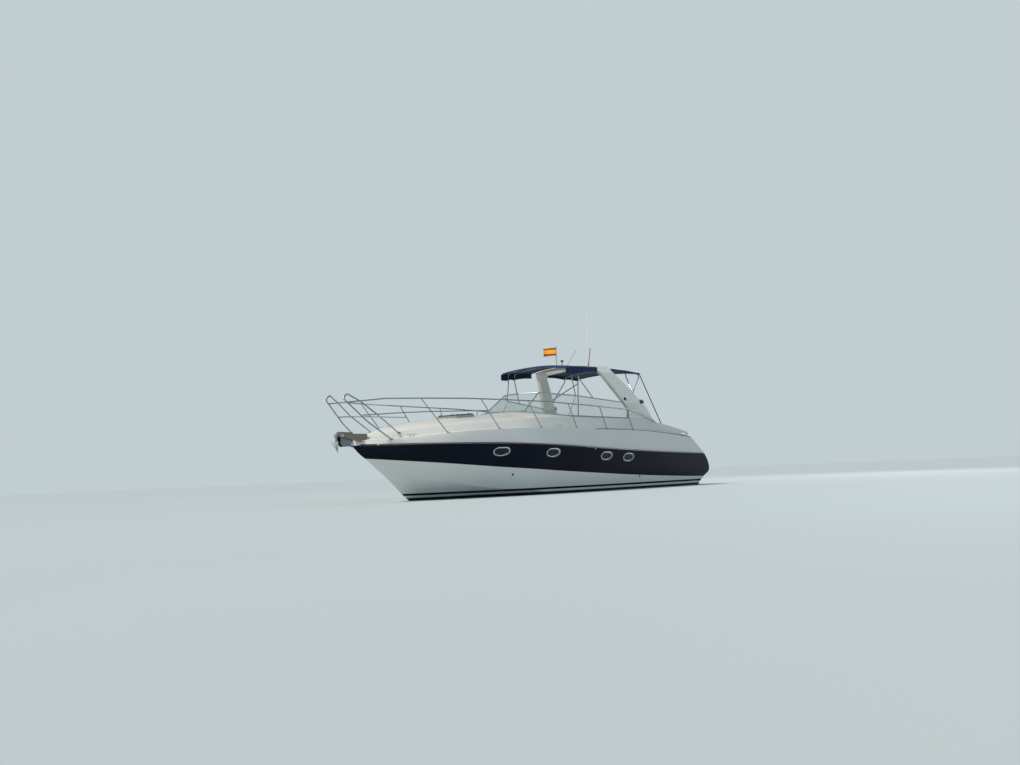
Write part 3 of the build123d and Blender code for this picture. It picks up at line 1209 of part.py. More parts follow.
def boat():
    """Every piece by its node's name."""
    form, hull, deck = hull_and_deck()
    console = helm_console()
    arch = radar_arch(deck)
    screen = windscreen_frame(form, deck, arch)
    rail = rail_side(form, deck)
    hatch_frame, hatch_lid = deck_hatch(deck)
    port_drive = Pos(0, DRIVE_Y, 0)
    starboard_drive = Pos(0, -DRIVE_Y, 0)
    return {
        "hull": hull,
        "deck": deck,
        "rub_strakes": rub_strake(form),
        "porthole_rims": port_frames(form),
        "porthole_glass": port_glass(form),
        "bow_rail_port": rail,
        "bow_rail_starboard": mirrored(rail),
        "bow_platform": bow_platform(deck),
        "bow_roller": bow_roller(),
        "anchor": anchor(),
        "cleats": cleats(form, deck),
        "hatch_frame": hatch_frame,
        "hatch_lid": hatch_lid,
        "locker_lid": locker_lid(form),
        "windscreen_frame": screen,
        "windscreen_glass": windscreen_glass(form, arch),
        "radar_arch": arch,
        "arch_lamps": arch_lamps(arch),
        "aerials": Compound(children=[aerial(arch, row) for row in AERIALS]),
        "masthead_light": masthead_light(arch),
        "flag_staff": flag_staff(arch),
        "flag": flag(arch),
        "canopy_forward": canopy_forward(),
        "canopy_aft": canopy_aft(arch),
        "canopy_bows": canopy_bows(arch, screen),
        "canopy_straps": canopy_straps(form),
        "cockpit_sole": cockpit_sole(),
        "cabin_sole": cabin_sole(),
        "cabin_door": cabin_door(),
        "door_tracks": door_tracks(),
        "helm_console": console,
        "steering_wheel": steering_wheel(),
        "throttle_levers": throttle_levers(console),
        "helm_seat_base": seat_base(SEAT_X, SEAT_Y, SEAT_BASE_Z),
        "helm_cushions": helm_cushions(),
        "lounge_base": seat_base(LOUNGE_X, LOUNGE_Y, LOUNGE_BASE_Z),
        "lounge_cushions": lounge_cushions(),
        "bench_base": seat_base(BENCH_X, BENCH_Y, BENCH_BASE_Z),
        "bench_cushions": bench_cushions(),
        "cockpit_table": cockpit_table(),
        "engine_lid": engine_lid(),
        "sun_pad": sun_pad(),
        "transom_gate": transom_gate(),
        "engines": engines(),
        "drive_mounts": drive_mounts(),
        "drive_yoke_port": port_drive * drive_yoke(),
        "drive_yoke_starboard": starboard_drive * drive_yoke(),
        "drive_leg_port": port_drive * drive_leg(),
        "drive_leg_starboard": starboard_drive * drive_leg(),
        "propeller_port": port_drive * propeller(),
        "propeller_starboard": mirrored(port_drive * propeller()),
        "trim_tabs": trim_tabs(),
    }


os.makedirs("parts", exist_ok=True)
for node, shape in boat().items():
    export_step(shape, f"parts/{node}.step")
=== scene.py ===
from itertools import product
from math import ceil, cos, hypot, pi, radians, sin
import bmesh
import bpy
from mathutils import Matrix, Vector
from mathutils.bvhtree import BVHTree


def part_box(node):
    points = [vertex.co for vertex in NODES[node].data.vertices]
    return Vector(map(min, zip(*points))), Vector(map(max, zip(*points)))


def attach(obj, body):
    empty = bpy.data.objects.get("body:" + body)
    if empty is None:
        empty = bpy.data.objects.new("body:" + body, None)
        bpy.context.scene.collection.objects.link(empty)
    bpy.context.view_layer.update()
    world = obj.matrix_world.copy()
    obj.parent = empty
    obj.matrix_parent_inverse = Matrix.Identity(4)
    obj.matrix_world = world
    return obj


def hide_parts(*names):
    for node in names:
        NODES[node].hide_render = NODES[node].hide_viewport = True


# An open sports cruiser afloat. Metres: +X to the bow, +Y to port, +Z up, the water at z = 0.

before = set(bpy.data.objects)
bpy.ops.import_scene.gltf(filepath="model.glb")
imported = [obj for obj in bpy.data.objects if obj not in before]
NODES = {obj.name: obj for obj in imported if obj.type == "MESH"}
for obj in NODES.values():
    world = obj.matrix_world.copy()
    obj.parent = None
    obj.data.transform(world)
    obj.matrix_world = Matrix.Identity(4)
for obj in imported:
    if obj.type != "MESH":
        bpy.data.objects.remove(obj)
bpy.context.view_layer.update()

# Where the photograph was taken from, and how the camera was held
CAMERA_PLACE = Vector((27.834, 18.202, 0.540))
CAMERA_HEADING = radians(219.95)
CAMERA_PITCH = radians(4.24)
CAMERA_ROLL = radians(2.22)
CAMERA_LENS = 42.35

# The bands painted on the topsides: height of the navy band's lower edge by distance from the transom
NAVY_LOW = (0.2290, 0.0240, 0.00364)
BOOT_TOP = 0.155
PINSTRIPE = (0.060, 0.108)
TOPSIDE_INNER_Y = 1.25
BAND_ROUNDS_BOW_X = 5.5
PLATFORM_Z = 0.45
PLATFORM_X = 0.58

# The rubbing groove along the deck's edge aft: its ends, its height at the aft end, its rise and its bend
GROOVE_X = (0.57, 4.95)
GROOVE_MIDDLE_X = 2.65
GROOVE_Z = 1.2635
GROOVE_RISE = (0.0733, -0.01252)
GROOVE_HALF = 0.008

# Grey non-skid panels on the foredeck and the side decks
FOREDECK_GRIP_X = (8.45, 10.05)
FOREDECK_GRIP_Y = (0.06, 0.50)
FOREDECK_GRIP_FROM_Z = 1.5
SIDE_GRIP_X = (4.30, 8.0)
SIDE_GRIP_Y = 1.36
SIDE_GRIP_HALF = 0.20
SIDE_GRIP_Z = (1.3, 1.56)

# Portholes along the band: station and height of their middles
PORTHOLES = ((3.720, 0.783), (4.640, 0.827), (6.559, 0.932), (8.046, 0.986))
RIM_OVAL = (0.225, 0.103)
PANE_OVAL = (0.196, 0.077)

# Fittings: stations and places on the boat, and the directions of the helm's raked face and of its hood
STANCHION_FEET = (9.320, 8.020, 6.800, 5.600, 4.460, 3.330, 10.530, 10.210)
FLANGE_HEIGHT = 0.0235
STRAKE_X = (0.08, 10.85)
STRAKE_STEPS = 110
DIALS = ((-0.27, 0.030), (-0.19, 0.030), (-0.085, 0.038), (0.085, 0.038), (0.19, 0.030), (0.27, 0.030))
TICKS = 9
BILGE_OUTLETS = ((7.59, 0.47), (3.05, 0.30), (1.75, 0.36))
TANK_VENTS = ((5.12, 1.01),)
ARCH_GRILLE = (3.244, 2.228)
FACE_OUT, FACE_UP = Vector((-0.9135, 0, 0.4067)), Vector((0.4067, 0, 0.9135))
HOOD_OUT, HOOD_UP = Vector((-0.9864, 0, 0.1644)), Vector((0.1644, 0, 0.9864))
ACROSS = Vector((0, 1, 0))
FACE_FOOT = Vector((4.960, 0, 1.300))
DIALS_X, DIALS_Z = 5.1215, 1.664
SCREEN = (-0.945, 0.21)
COMPASS_X, COMPASS_Z = 5.205, 1.694
# Barrels of the hinges: body, axis, half length, radius, sides and middles
HINGES = (
    ("hatch_hinges", "hatch_lid", (0, 1, 0), 0.030, 0.0075, 12, ((8.334, 0.17, 1.846), (8.334, -0.17, 1.846))),
    ("locker_hinges", "locker_lid", (0, 1, 0), 0.022, 0.005, 12, ((10.250, 0.10, 1.5757), (10.250, -0.10, 1.5757))),
    ("gate_hinges", "transom_gate", (0, 0, 1), 0.028, 0.0125, 16, ((0.640, 0.7205, 0.72), (0.640, 0.7205, 0.93))))
# Ring pulls let into lids: where each is looked for from above, the way it looks (None: as the lid does), its scale
PULLS = (("locker_pull", "locker_lid", (10.68, 0, 2.5), None, 1),
         ("engine_lid_pull", "engine_lid", (2.02, -0.24, 3.0), (0, 0, 1), 0.6))
PULL_RING = ((-0.001, 0.030), (0.0012, 0.030), (0.0022, 0.027), (0.0012, 0.022), (0.0012, 0.001))
TABLE_LEG_TOP = 1.252
THROTTLE_BOX_TOP = 1.376
WHEEL_PLACE = Vector((4.895, -0.6, 1.465))
WHEEL_RIM_FROM = 0.168

# Canvas tops, aft to forward: station, half width, hem, side and crown heights
FORWARD_CANVAS = (
    (3.992, 1.045, 2.890, 3.005, 3.115), (5.000, 1.035, 2.800, 2.990, 3.082),
    (5.180, 1.025, 2.800, 2.975, 3.055), (5.240, 1.015, 2.815, 2.930, 3.005))
AFT_CANVAS = (
    (2.080, 1.000, 2.880, 2.935, 3.010), (2.700, 1.015, 2.905, 2.975, 3.070),
    (3.438, 1.029, 2.924, 2.994, 3.103))
FORWARD_BOWS = (3.992, 4.740, 4.985)
AFT_BOWS = (2.080, 2.112, 2.690, 3.438)
# How far the cloth stays inside those sizes, and inside their first and last stations
CANVAS_INSETS = (0, 0.003, 0, 0.002, 0.003)
CANVAS_ENDS = (0.004, 0.002)
CANVAS_THICK = 0.0018
CANVAS_STEPS = 40
CANVAS_SAG = 0.012
HEM_SCALLOP = 0.018
HEM_RADIUS = 0.0045
SEAM_RADIUS = 0.0022

# The flag: the staff's foot, the way the flag streams, its length and height, and how it ripples and hangs
STAFF = Vector((3.700, -0.440, 3.0))
FLAG_HEADING = radians(-60)
FLAG_SIZE = (0.330, 0.200)
FLAG_THICK = 0.0012
FLAG_RIPPLE = 0.009
FLAG_FLUTTER = 0.002
FLAG_DROOP = 0.02

# Cushions: rounding of their edges, how far their sides draw in, the pitch of their meshes, the half width of a
# channel's bell curve and its base, their welts, and how far the simulation may swell them
PAD_EDGE = 0.035
PAD_PULL = 0.008
PAD_PITCH = 0.022
CHANNEL_HALF = 0.016
BELL = 2.718
WELT_RADIUS = 0.005
PAD_SWELL = 0.009

# The studio: floor, surround and lamps
FLOOR_REACH = 130
FLOOR_PALE = (0.50, 0.57, 0.61)
BACKDROP = (0.53, 0.61, 0.64)
SKY_FILL = (0.64, 0.85, 1.0)
SKY_LEVEL = 0.33
KEY_LEVEL = 3.7
KEY_SOFTNESS = radians(9)
KEY_COLOUR = (1.0, 0.92, 0.79)
KEY_AIM = Vector((-17, 5, -17))

# The cushions' cloth simulation: air pressure inside the covers, and how long it runs
STUFFING = 4
SIM_FRAMES = 20

# Colours as they render
GELCOAT = (0.73, 0.73, 0.71)
NAVY = (0.003, 0.005, 0.014)
BOOT_BLACK = (0.008, 0.009, 0.012)
CANVAS_NAVY = (0.005, 0.020, 0.070)
VINYL = (0.72, 0.67, 0.56)
TEAK = (0.33, 0.19, 0.09)
GREY_TEAK = (0.24, 0.18, 0.13)
# Steel darker than bare stainless: painted shade, so the rails and fittings look as dark as their shaded sides
STEEL_WITH_PAINTED_SHADE = (0.34, 0.35, 0.37)


class Term:
    """A socket that takes part in sums as a number does."""

    def __init__(self, tree, socket):
        self.tree = tree
        self.socket = socket

    def sum(self, operation, *values):
        return self.tree.node("Math", {"operation": operation}, dict(enumerate(values)))[0]

    def __add__(self, other):
        return self.sum("ADD", self, other)

    def __sub__(self, other):
        return self.sum("SUBTRACT", self, other)

    def __rsub__(self, other):
        return self.sum("SUBTRACT", other, self)

    def __mul__(self, other):
        return self.sum("MULTIPLY", self, other)

    def __truediv__(self, other):
        return self.sum("DIVIDE", self, other)

    def __pow__(self, other):
        return self.sum("POWER", self, other)

    __radd__ = __add__
    __rmul__ = __mul__

    def size(self):
        return self.sum("ABSOLUTE", self)

    def wave(self):
        return self.sum("SINE", self)

    def sign(self):
        return self.sum("SIGN", self)

    def least(self, other):
        return self.sum("MINIMUM", self, other)

    def most(self, other):
        return self.sum("MAXIMUM", self, other)

    def part(self):
        """What is left after whole numbers are taken away."""
        return self.sum("FRACT", self)

    def above(self, edge, soft=0.001):
        """0 below an edge and 1 above it, with a soft step."""
        return ((self - edge) / soft + 0.5).most(0).least(1)

    def below(self, edge, soft=0.001):
        return 1 - self.above(edge, soft)

    def within(self, low, high, soft=0.001):
        return self.above(low, soft) * self.below(high, soft)


class Finish:
    """A procedural material, built from its nodes."""

    def __init__(self, name, **constants):
        self.name = name
        self.material = bpy.data.materials.new(name)
        self.material.use_nodes = True
        self.links = self.material.node_tree.links
        self.nodes = self.material.node_tree.nodes
        self.shader = self.nodes["Principled BSDF"]
        for socket, value in constants.items():
            self.shader.inputs[socket.replace("_", " ")].default_value = value
        coordinates = self.node("TexCoord")
        self.place = coordinates["Object"]
        self.x, self.y, self.z = (self.axes(self.place)[axis] for axis in "XYZ")
        self.facing = self.axes(coordinates["Normal"])

    def node(self, kind, settings=None, values=None):
        """Adds a node: its type, its settings, then the values or links of its sockets."""
        made = self.nodes.new("ShaderNode" + kind)
        for name, value in (settings or {}).items():
            if name == "stops":
                ramp = made.color_ramp
                while len(ramp.elements) < len(value):
                    ramp.elements.new(0.5)
                for stop, (position, colour) in zip(ramp.elements, value):
                    stop.position = position
                    stop.color = (*colour, 1)
            else:
                setattr(made, name, value)
        for name, value in (values or {}).items():
            if isinstance(value, Term):
                self.links.new(value.socket, made.inputs[name])
            elif isinstance(value, tuple) and made.inputs[name].type == "RGBA":
                made.inputs[name].default_value = (*value[:3], 1)
            else:
                made.inputs[name].default_value = value
        return {key: Term(self, socket) for index, socket in enumerate(made.outputs)
                for key in (index, socket.name)}

    def axes(self, vector):
        return self.node("SeparateXYZ", None, {0: vector})

    def mix(self, share, first, second):
        """One colour over another, by a share from 0 to 1."""
        return self.node("Mix", {"data_type": "RGBA"}, {0: share, 6: first, 7: second})[2]

    def noise(self, scale, detail=3, roughness=0.5, place=None):
        """Cloudy noise from 0 to 1."""
        return self.node("TexNoise", None, {
            "Vector": place or self.place, "Scale": scale, "Detail": detail, "Roughness": roughness})[0]

    def cells(self, scale):
        """Distance to the nearest of many scattered points."""
        return self.node("TexVoronoi", None, {"Vector": self.place, "Scale": scale})["Distance"]

    def stretched(self, x=1, y=1, z=1):
        """The place on the piece, drawn out along its axes."""
        return self.node("Mapping", None, {"Vector": self.place, "Scale": (x, y, z)})[0]

    def colour(self, value):
        self.into("Base Color", value)

    def roughness(self, value):
        self.into("Roughness", value)

    def into(self, socket, value):
        self.links.new(value.socket, self.shader.inputs[socket])

    def relief(self, height, strength=0.3, depth=0.001):
        """Small relief, as a bump."""
        bump = self.node("Bump", None, {"Height": height, "Strength": strength, "Distance": depth})[0]
        self.into("Normal", bump)

    def on(self, *names):
        """Puts the finish on nodes of the frame."""
        for name in names:
            wear(NODES[name], self.material)


def wear(piece, material):
    """Gives a piece one material."""
    if piece.data.materials:
        for index in range(len(piece.data.materials)):
            piece.data.materials[index] = material
    else:
        piece.data.materials.append(material)


def shade(colour, factor, lift=0):
    """A colour made darker or lighter."""
    return tuple(c * factor + lift for c in colour)


def weathered(finish, colour, dirt=0.10, scale=1.3):
    """A colour with faint streaks and clouds, so that no large face is dead flat."""
    clouds = finish.noise(scale, 4, 0.6)
    streaks = finish.noise(1, 3, 0.6, finish.stretched(2.2, 2.2, 0.35))
    share = (clouds * 0.6 + streaks * 0.4 - 0.42).most(0).least(0.3) * (dirt / 0.3)
    soiled = tuple(c * tint for c, tint in zip(colour, (0.80, 0.79, 0.74)))
    return finish.mix(share, colour, soiled)


def topsides_finish():
    """White gelcoat with the navy band, the boot stripe and its pinstripe, and dark paint under water."""
    coat = Finish("hull_gelcoat", Specular_IOR_Level=0.10, IOR=1.4)
    x, y, z = coat.x, coat.y, coat.z
    low = x * x * NAVY_LOW[2] + x * NAVY_LOW[1] + NAVY_LOW[0]
    outboard = y.size().above(TOPSIDE_INNER_Y).most(x.above(BAND_ROUNDS_BOW_X))
    stern = x.below(PLATFORM_X) * coat.facing["X"].below(-0.4, 0.1)
    outward = (coat.facing["Y"] * y.sign()).above(-0.2, 0.02)
    band = (z - low).above(0, 0.003) * (outboard * outward).most(stern)
    skin = coat.mix(band, weathered(coat, GELCOAT, 0.16), weathered(coat, NAVY, 0.3))
    stripe = z.below(BOOT_TOP, 0.002) * (1 - z.within(*PINSTRIPE, 0.002))
    skin = coat.mix(stripe * (1 - band), skin, BOOT_BLACK)
    scum = z.below(0.05, 0.06) * coat.noise(9, 5, 0.7) * 0.5
    skin = coat.mix(scum, skin, (0.10, 0.11, 0.06))
    teak = coat.facing["Z"].above(0.9, 0.02) * x.below(PLATFORM_X) * z.within(PLATFORM_Z - 0.01, PLATFORM_Z + 0.01)
    planks, grain = teak_planks(coat)
    coat.colour(coat.mix(teak, skin, planks))
    scuff = coat.noise(3, 5, 0.65)
    coat.roughness(scuff * 0.10 + 0.17 + teak * 0.45)
    coat.relief(coat.noise(1.4, 2) * 0.6 + grain * teak, 0.12, 0.004)
    return coat


def teak_planks(finish, plank=0.055, seam=0.006, tint=TEAK):
    """The colour and the height of laid teak with dark seams, its planks fore and aft."""
    across = finish.y / plank
    number = across - across.part()
    joint = (across.part() - 0.5).size().above(0.5 - seam / plank, 0.02)
    fibre = finish.noise(1, 5, 0.65, finish.stretched(3.5, 70, 70))
    tone = (number * 12.9898).wave() * 0.5 + 0.5
    wood = finish.mix(fibre * 0.7 + tone * 0.3, shade(tint, 0.68), shade(tint, 1.45))
    return finish.mix(joint, wood, (0.012, 0.011, 0.010)), fibre * 0.3 - joint * 0.7


def deck_finish():
    """White gelcoat, with grey non-skid panels on the walking decks and a dark groove along the edge aft."""
    coat = Finish("deck_gelcoat", Coat_Weight=0.4, Coat_Roughness=0.08, IOR=1.5)
    x, y, z = coat.x, coat.y.size(), coat.z
    level = coat.facing["Z"].above(0.93, 0.03)
    foredeck = x.within(*FOREDECK_GRIP_X, 0.01) * y.within(*FOREDECK_GRIP_Y, 0.01) * z.above(FOREDECK_GRIP_FROM_Z)
    sides = x.within(*SIDE_GRIP_X, 0.01) * (y - SIDE_GRIP_Y).size().below(SIDE_GRIP_HALF, 0.01)
    grip = foredeck.most(sides * z.within(*SIDE_GRIP_Z)) * level
    studs = coat.cells(160).below(0.45, 0.3)
    white = weathered(coat, GELCOAT, 0.12)
    panel = coat.mix(studs, (0.60, 0.60, 0.57), (0.68, 0.68, 0.65))
    line = (x - GROOVE_X[0]) * GROOVE_RISE[0] + (x - GROOVE_X[0]) * (x - GROOVE_MIDDLE_X) * GROOVE_RISE[1] + GROOVE_Z
    groove = (z - line).size().below(GROOVE_HALF, 0.002) * x.within(*GROOVE_X) * y.above(1.2)
    groove = groove * coat.facing["Z"].below(0.9, 0.05)
    coat.colour(coat.mix(groove, coat.mix(grip, white, panel), BOOT_BLACK))
    coat.roughness(coat.noise(3, 4, 0.6) * 0.12 + 0.18 + grip * 0.5)
    coat.relief(studs * grip + coat.noise(1.8, 2) * 0.4, 0.25, 0.0012)
    return coat


def moulding_finish():
    """Plain white gelcoat for the smaller mouldings."""
    coat = Finish("white_moulding", Coat_Weight=0.4, Coat_Roughness=0.08, IOR=1.5)
    coat.colour(weathered(coat, GELCOAT, 0.14, 2.4))
    coat.roughness(coat.noise(6, 4, 0.6) * 0.12 + 0.18)
    coat.relief(coat.noise(5, 3), 0.08, 0.002)
    return coat


def oval(finish, half_length, half_height):
    """1 inside the oval of each porthole."""
    inside = None
    for x, z in PORTHOLES:
        spot = 1 - (((finish.x - x) / half_length) ** 2 + ((finish.z - z) / half_height) ** 2).above(1, 0.06)
        inside = spot if inside is None else inside.most(spot)
    return inside


def porthole_finish(name, size, inside, outside, **constants):
    """A porthole's ring or pane: one finish in its oval, another in the corners outside it."""
    ring = Finish(name, **constants)
    share = oval(ring, *size)
    clouds = ring.noise(14, 4, 0.6)
    within = ring.mix(clouds, inside, shade(inside, 1.2))
    ring.colour(ring.mix(share, weathered(ring, outside, 0.2), within))
    ring.roughness(clouds * 0.08 + 0.12)
    ring.relief(clouds, 0.05, 0.0005)
    return ring, share


def teak_finish(name, tint, plank=0.055, steel_below=None):
    """Laid teak for soles, the bow platform and the table, whose leg is steel."""
    wood = Finish(name)
    planks, height = teak_planks(wood, plank, tint=tint)
    grain = wood.noise(40, 3)
    if steel_below is None:
        wood.colour(planks)
        wood.roughness(grain * 0.2 + 0.5)
    else:
        steel = wood.z.below(steel_below)
        # The steel leg takes the darkened steel colour, which holds painted shade
        wood.colour(wood.mix(steel, planks, STEEL_WITH_PAINTED_SHADE))
        wood.into("Metallic", steel)
        wood.roughness(grain * 0.2 + 0.5 - steel * 0.35)
    wood.relief(height, 0.4, 0.0015)
    return wood


def metal_finish(name, colour, rough, brushed=0.0, blotch=0.06):
    """Polished or brushed metal with small clouds in its gloss."""
    metal = Finish(name, Metallic=1.0)
    clouds = metal.noise(14, 4, 0.6)
    metal.colour(metal.mix(clouds, shade(colour, 0.90), colour))
    lines = metal.noise(1, 4, 0.6, metal.stretched(20, 300, 300))
    metal.roughness(clouds * blotch + lines * brushed + rough)
    metal.relief(lines, 0.05 + brushed, 0.0004)
    return metal


def paint_finish(name, colour, rough=0.4, wear_share=0.25):
    """Paint or moulded plastic with a fine grain and a few rubbed places."""
    paint = Finish(name, Specular_IOR_Level=0.5)
    clouds = paint.noise(7, 4, 0.6)
    rubbed = paint.noise(30, 5, 0.7).above(0.62, 0.12) * wear_share
    light = tuple(min(1, c) for c in shade(colour, 1.6, 0.03))
    paint.colour(paint.mix(rubbed, paint.mix(clouds, shade(colour, 0.85), colour), light))
    paint.roughness(clouds * 0.15 + rough)
    paint.relief(paint.noise(420, 2), 0.15, 0.0004)
    return paint


def glass_finish(name, tint, alpha):
    """Smoked glass or acrylic, clearer or darker."""
    glass = Finish(name, IOR=1.45, Coat_Weight=0.5, Coat_Roughness=0.02, Alpha=alpha)
    haze = glass.noise(2.2, 4, 0.6)
    glass.colour(glass.mix(haze, tint, shade(tint, 1.6, 0.01)))
    glass.roughness(haze * 0.05 + 0.03)
    glass.material.surface_render_method = "BLENDED"
    return glass


def canvas_finish():
    """Navy acrylic canvas: plain weave, a little lighter on faces that look up and in soft clouds."""
    cloth = Finish("navy_canvas", Sheen_Weight=0.08, Sheen_Roughness=0.5, Specular_IOR_Level=0.2)
    warp = (cloth.x * 2600).wave() * 0.5 + 0.5
    weft = (cloth.y * 2600).wave() * 0.5 + 0.5
    # Lighter on faces that look up, and in soft clouds
    lighter_upward_and_in_clouds = cloth.facing["Z"].most(0) * 0.35 + cloth.noise(3, 4, 0.6) * 0.35
    cloth.colour(cloth.mix(lighter_upward_and_in_clouds, CANVAS_NAVY, shade(CANVAS_NAVY, 1.7, 0.006)))
    cloth.roughness(cloth.noise(18, 3) * 0.1 + 0.75)
    cloth.relief(warp * weft + cloth.noise(7, 3, 0.6) * 1.5, 0.5, 0.0006)
    return cloth


def vinyl_finish():
    """Cream marine vinyl with its pebbled grain, darker where it is rubbed."""
    skin = Finish("cream_vinyl", Coat_Weight=0.08, Coat_Roughness=0.35, Sheen_Weight=0.05)
    pebbles = skin.cells(420)
    clouds = skin.noise(4, 4, 0.6)
    skin.colour(skin.mix(clouds * 0.5 + pebbles * 0.2, VINYL, shade(VINYL, 0.82)))
    skin.roughness(clouds * 0.15 + 0.42)
    skin.relief(pebbles, 0.35, 0.0005)
    return skin


def piping_finish():
    """The darker welt sewn round the cushions."""
    welt = Finish("navy_piping", Coat_Weight=0.1)
    welt.colour(welt.mix(welt.noise(60), (0.02, 0.03, 0.07), (0.05, 0.06, 0.11)))
    welt.roughness(welt.noise(30) * 0.1 + 0.45)
    return welt


def flag_finish(along, height):
    """Woven bunting in red, yellow and red, its yellow stripe as deep as both red ones."""
    cloth = Finish("flag_cloth", Sheen_Weight=0.3)
    level = (cloth.z - along) / height
    yellow = level.within(0.25, 0.75, 0.02)
    weave = (cloth.z * 3000).wave() * 0.5 + 0.5
    red = cloth.mix(weave * 0.4, (0.55, 0.015, 0.012), (0.40, 0.01, 0.01))
    gold = cloth.mix(weave * 0.4, (0.85, 0.50, 0.02), (0.70, 0.40, 0.02))
    cloth.colour(cloth.mix(yellow, red, gold))
    cloth.roughness(cloth.noise(40) * 0.1 + 0.75)
    cloth.relief(weave, 0.3, 0.0004)
    return cloth


def placed(name, data):
    """A new object of the scene."""
    made = bpy.data.objects.new(name, data)
    bpy.context.scene.collection.objects.link(made)
    return made


def piece(name, points, faces, finish, body="boat", slot=None, smooth=True):
    """A mesh object that rides on a body of the frame and wears its finish; the slot argument is not used."""
    mesh = bpy.data.meshes.new(name)
    mesh.from_pydata([tuple(p) for p in points], [], faces)
    mesh.update()
    if smooth:
        mesh.shade_smooth()
    made = placed(name, mesh)
    wear(made, finish.material)
    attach(made, body)
    return made


def net(rows, closed_across=False, closed_along=False, start=0):
    """Faces between rows of points, each row as long as the next."""
    count = len(rows[0])
    faces = []
    for i in range(len(rows) if closed_along else len(rows) - 1):
        j = (i + 1) % len(rows)
        for k in range(count if closed_across else count - 1):
            m = (k + 1) % count
            faces.append((start + i * count + k, start + i * count + m, start + j * count + m, start + j * count + k))
    return faces


def circle(centre, across, other, radius, sides):
    """Points round a centre, in the plane of two directions."""
    turns = (2 * pi * k / sides for k in range(sides))
    return [centre + (across * cos(a) + other * sin(a)) * radius for a in turns]


def add_tube(points, faces, rings, closed=False):
    """Adds the skin through rings of points, with a cap at each end unless it is closed on itself."""
    start, sides = len(points), len(rings[0])
    faces += net(rings, closed_across=True, closed_along=closed, start=start)
    points += [p for ring in rings for p in ring]
    if not closed:
        faces.append(tuple(start + k for k in reversed(range(sides))))
        faces.append(tuple(start + (len(rings) - 1) * sides + k for k in range(sides)))


def hoses(paths, radius, sides=8, closed=False):
    """Points and faces of round tubes along paths."""
    points, faces = [], []
    for path in paths:
        path = [Vector(p) for p in path]
        count = len(path)
        across = None
        rings = []
        for i, here in enumerate(path):
            ahead = path[(i + 1) % count] if closed or i < count - 1 else here
            behind = path[i - 1] if closed or i > 0 else here
            run = (ahead - behind).normalized()
            if across is None:
                across = run.orthogonal().normalized()
            across = (across - run * across.dot(run)).normalized()
            rings.append(circle(here, across, run.cross(across), radius, sides))
        add_tube(points, faces, rings, closed)
    return points, faces


def turned(profiles, sides=24):
    """Points and faces of turned pieces: each has a centre, an axis and (distance along, radius) pairs."""
    points, faces = [], []
    for centre, axis, profile in profiles:
        axis = Vector(axis).normalized()
        across = axis.orthogonal().normalized()
        add_tube(points, faces, [circle(Vector(centre) + axis * along, across, axis.cross(across), radius, sides)
                                 for along, radius in profile])
    return points, faces


def boxes(blocks, soft=0.15):
    """Points and faces of small blocks with bevelled edges: centre, three half-axes."""
    points, faces = [], []
    ends = (-1, 1)

    def signs(*pairs):
        return tuple(sign for _, sign in sorted(pairs))

    for centre, *halves in blocks:
        centre, axes = Vector(centre), [Vector(half) for half in halves]
        short = min(axis.length for axis in axes)
        insets = [short * soft / axis.length for axis in axes]
        corners = {}
        for *corner, flat in product(ends, ends, ends, range(3)):
            share = [s if axis == flat else s * (1 - insets[axis]) for axis, s in enumerate(corner)]
            corners[(*corner, flat)] = len(points)
            points.append(centre + sum((axes[a] * share[a] for a in range(3)), Vector()))
        for flat, s in product(range(3), ends):
            u, v = [axis for axis in range(3) if axis != flat]
            faces.append(tuple(corners[(*signs((flat, s), (u, su), (v, sv)), flat)]
                               for su, sv in ((-1, -1), (1, -1), (1, 1), (-1, 1))))
        for run, su, sv in product(range(3), ends, ends):
            u, v = [axis for axis in range(3) if axis != run]
            near, far = (signs((run, s), (u, su), (v, sv)) for s in ends)
            faces.append((corners[(*near, u)], corners[(*far, u)], corners[(*far, v)], corners[(*near, v)]))
        for corner in product(ends, repeat=3):
            faces.append(tuple(corners[(*corner, flat)] for flat in range(3)))
    return points, faces


def outward(made):
    """Turns every face of a closed piece outward."""
    shape = bmesh.new()
    shape.from_mesh(made.data)
    bmesh.ops.recalc_face_normals(shape, faces=shape.faces)
    shape.to_mesh(made.data)
    shape.free()
    return made


def between(rows, x):
    """The row of a table at station x, by straight lines."""
    near, far = next(pair for pair in zip(rows, rows[1:]) if pair[0][0] <= x <= pair[1][0] or pair[1] is rows[-1])
    share = (x - near[0]) / (far[0] - near[0])
    return [a + (b - a) * share for a, b in zip(near, far)]


def canvas_section(row, across, scallop, sag):
    """Points across one section of a canvas top: hem, hanging side, rounded corner, crowned roof."""
    x, half, hem, side, crown = row
    hang = 7
    port = [(half * (1 - 0.004 * sin(pi * k / hang)), hem + scallop + (side - hem - scallop) * k / hang)
            for k in range(hang)]
    widths = (half * cos(pi * k / across) for k in range(across + 1))
    roof = [(y, side + (crown - sag - side) * (1 - (y / half) ** 2)) for y in widths]
    line = port + roof + [(-y, z) for y, z in reversed(port)]
    for _ in range(3):
        line = [line[0]] + [tuple((a + 2 * b + c) / 4 for a, b, c in zip(*trio))
                            for trio in zip(line, line[1:], line[2:])] + [line[-1]]
    return [Vector((x, y, z)) for y, z in line]


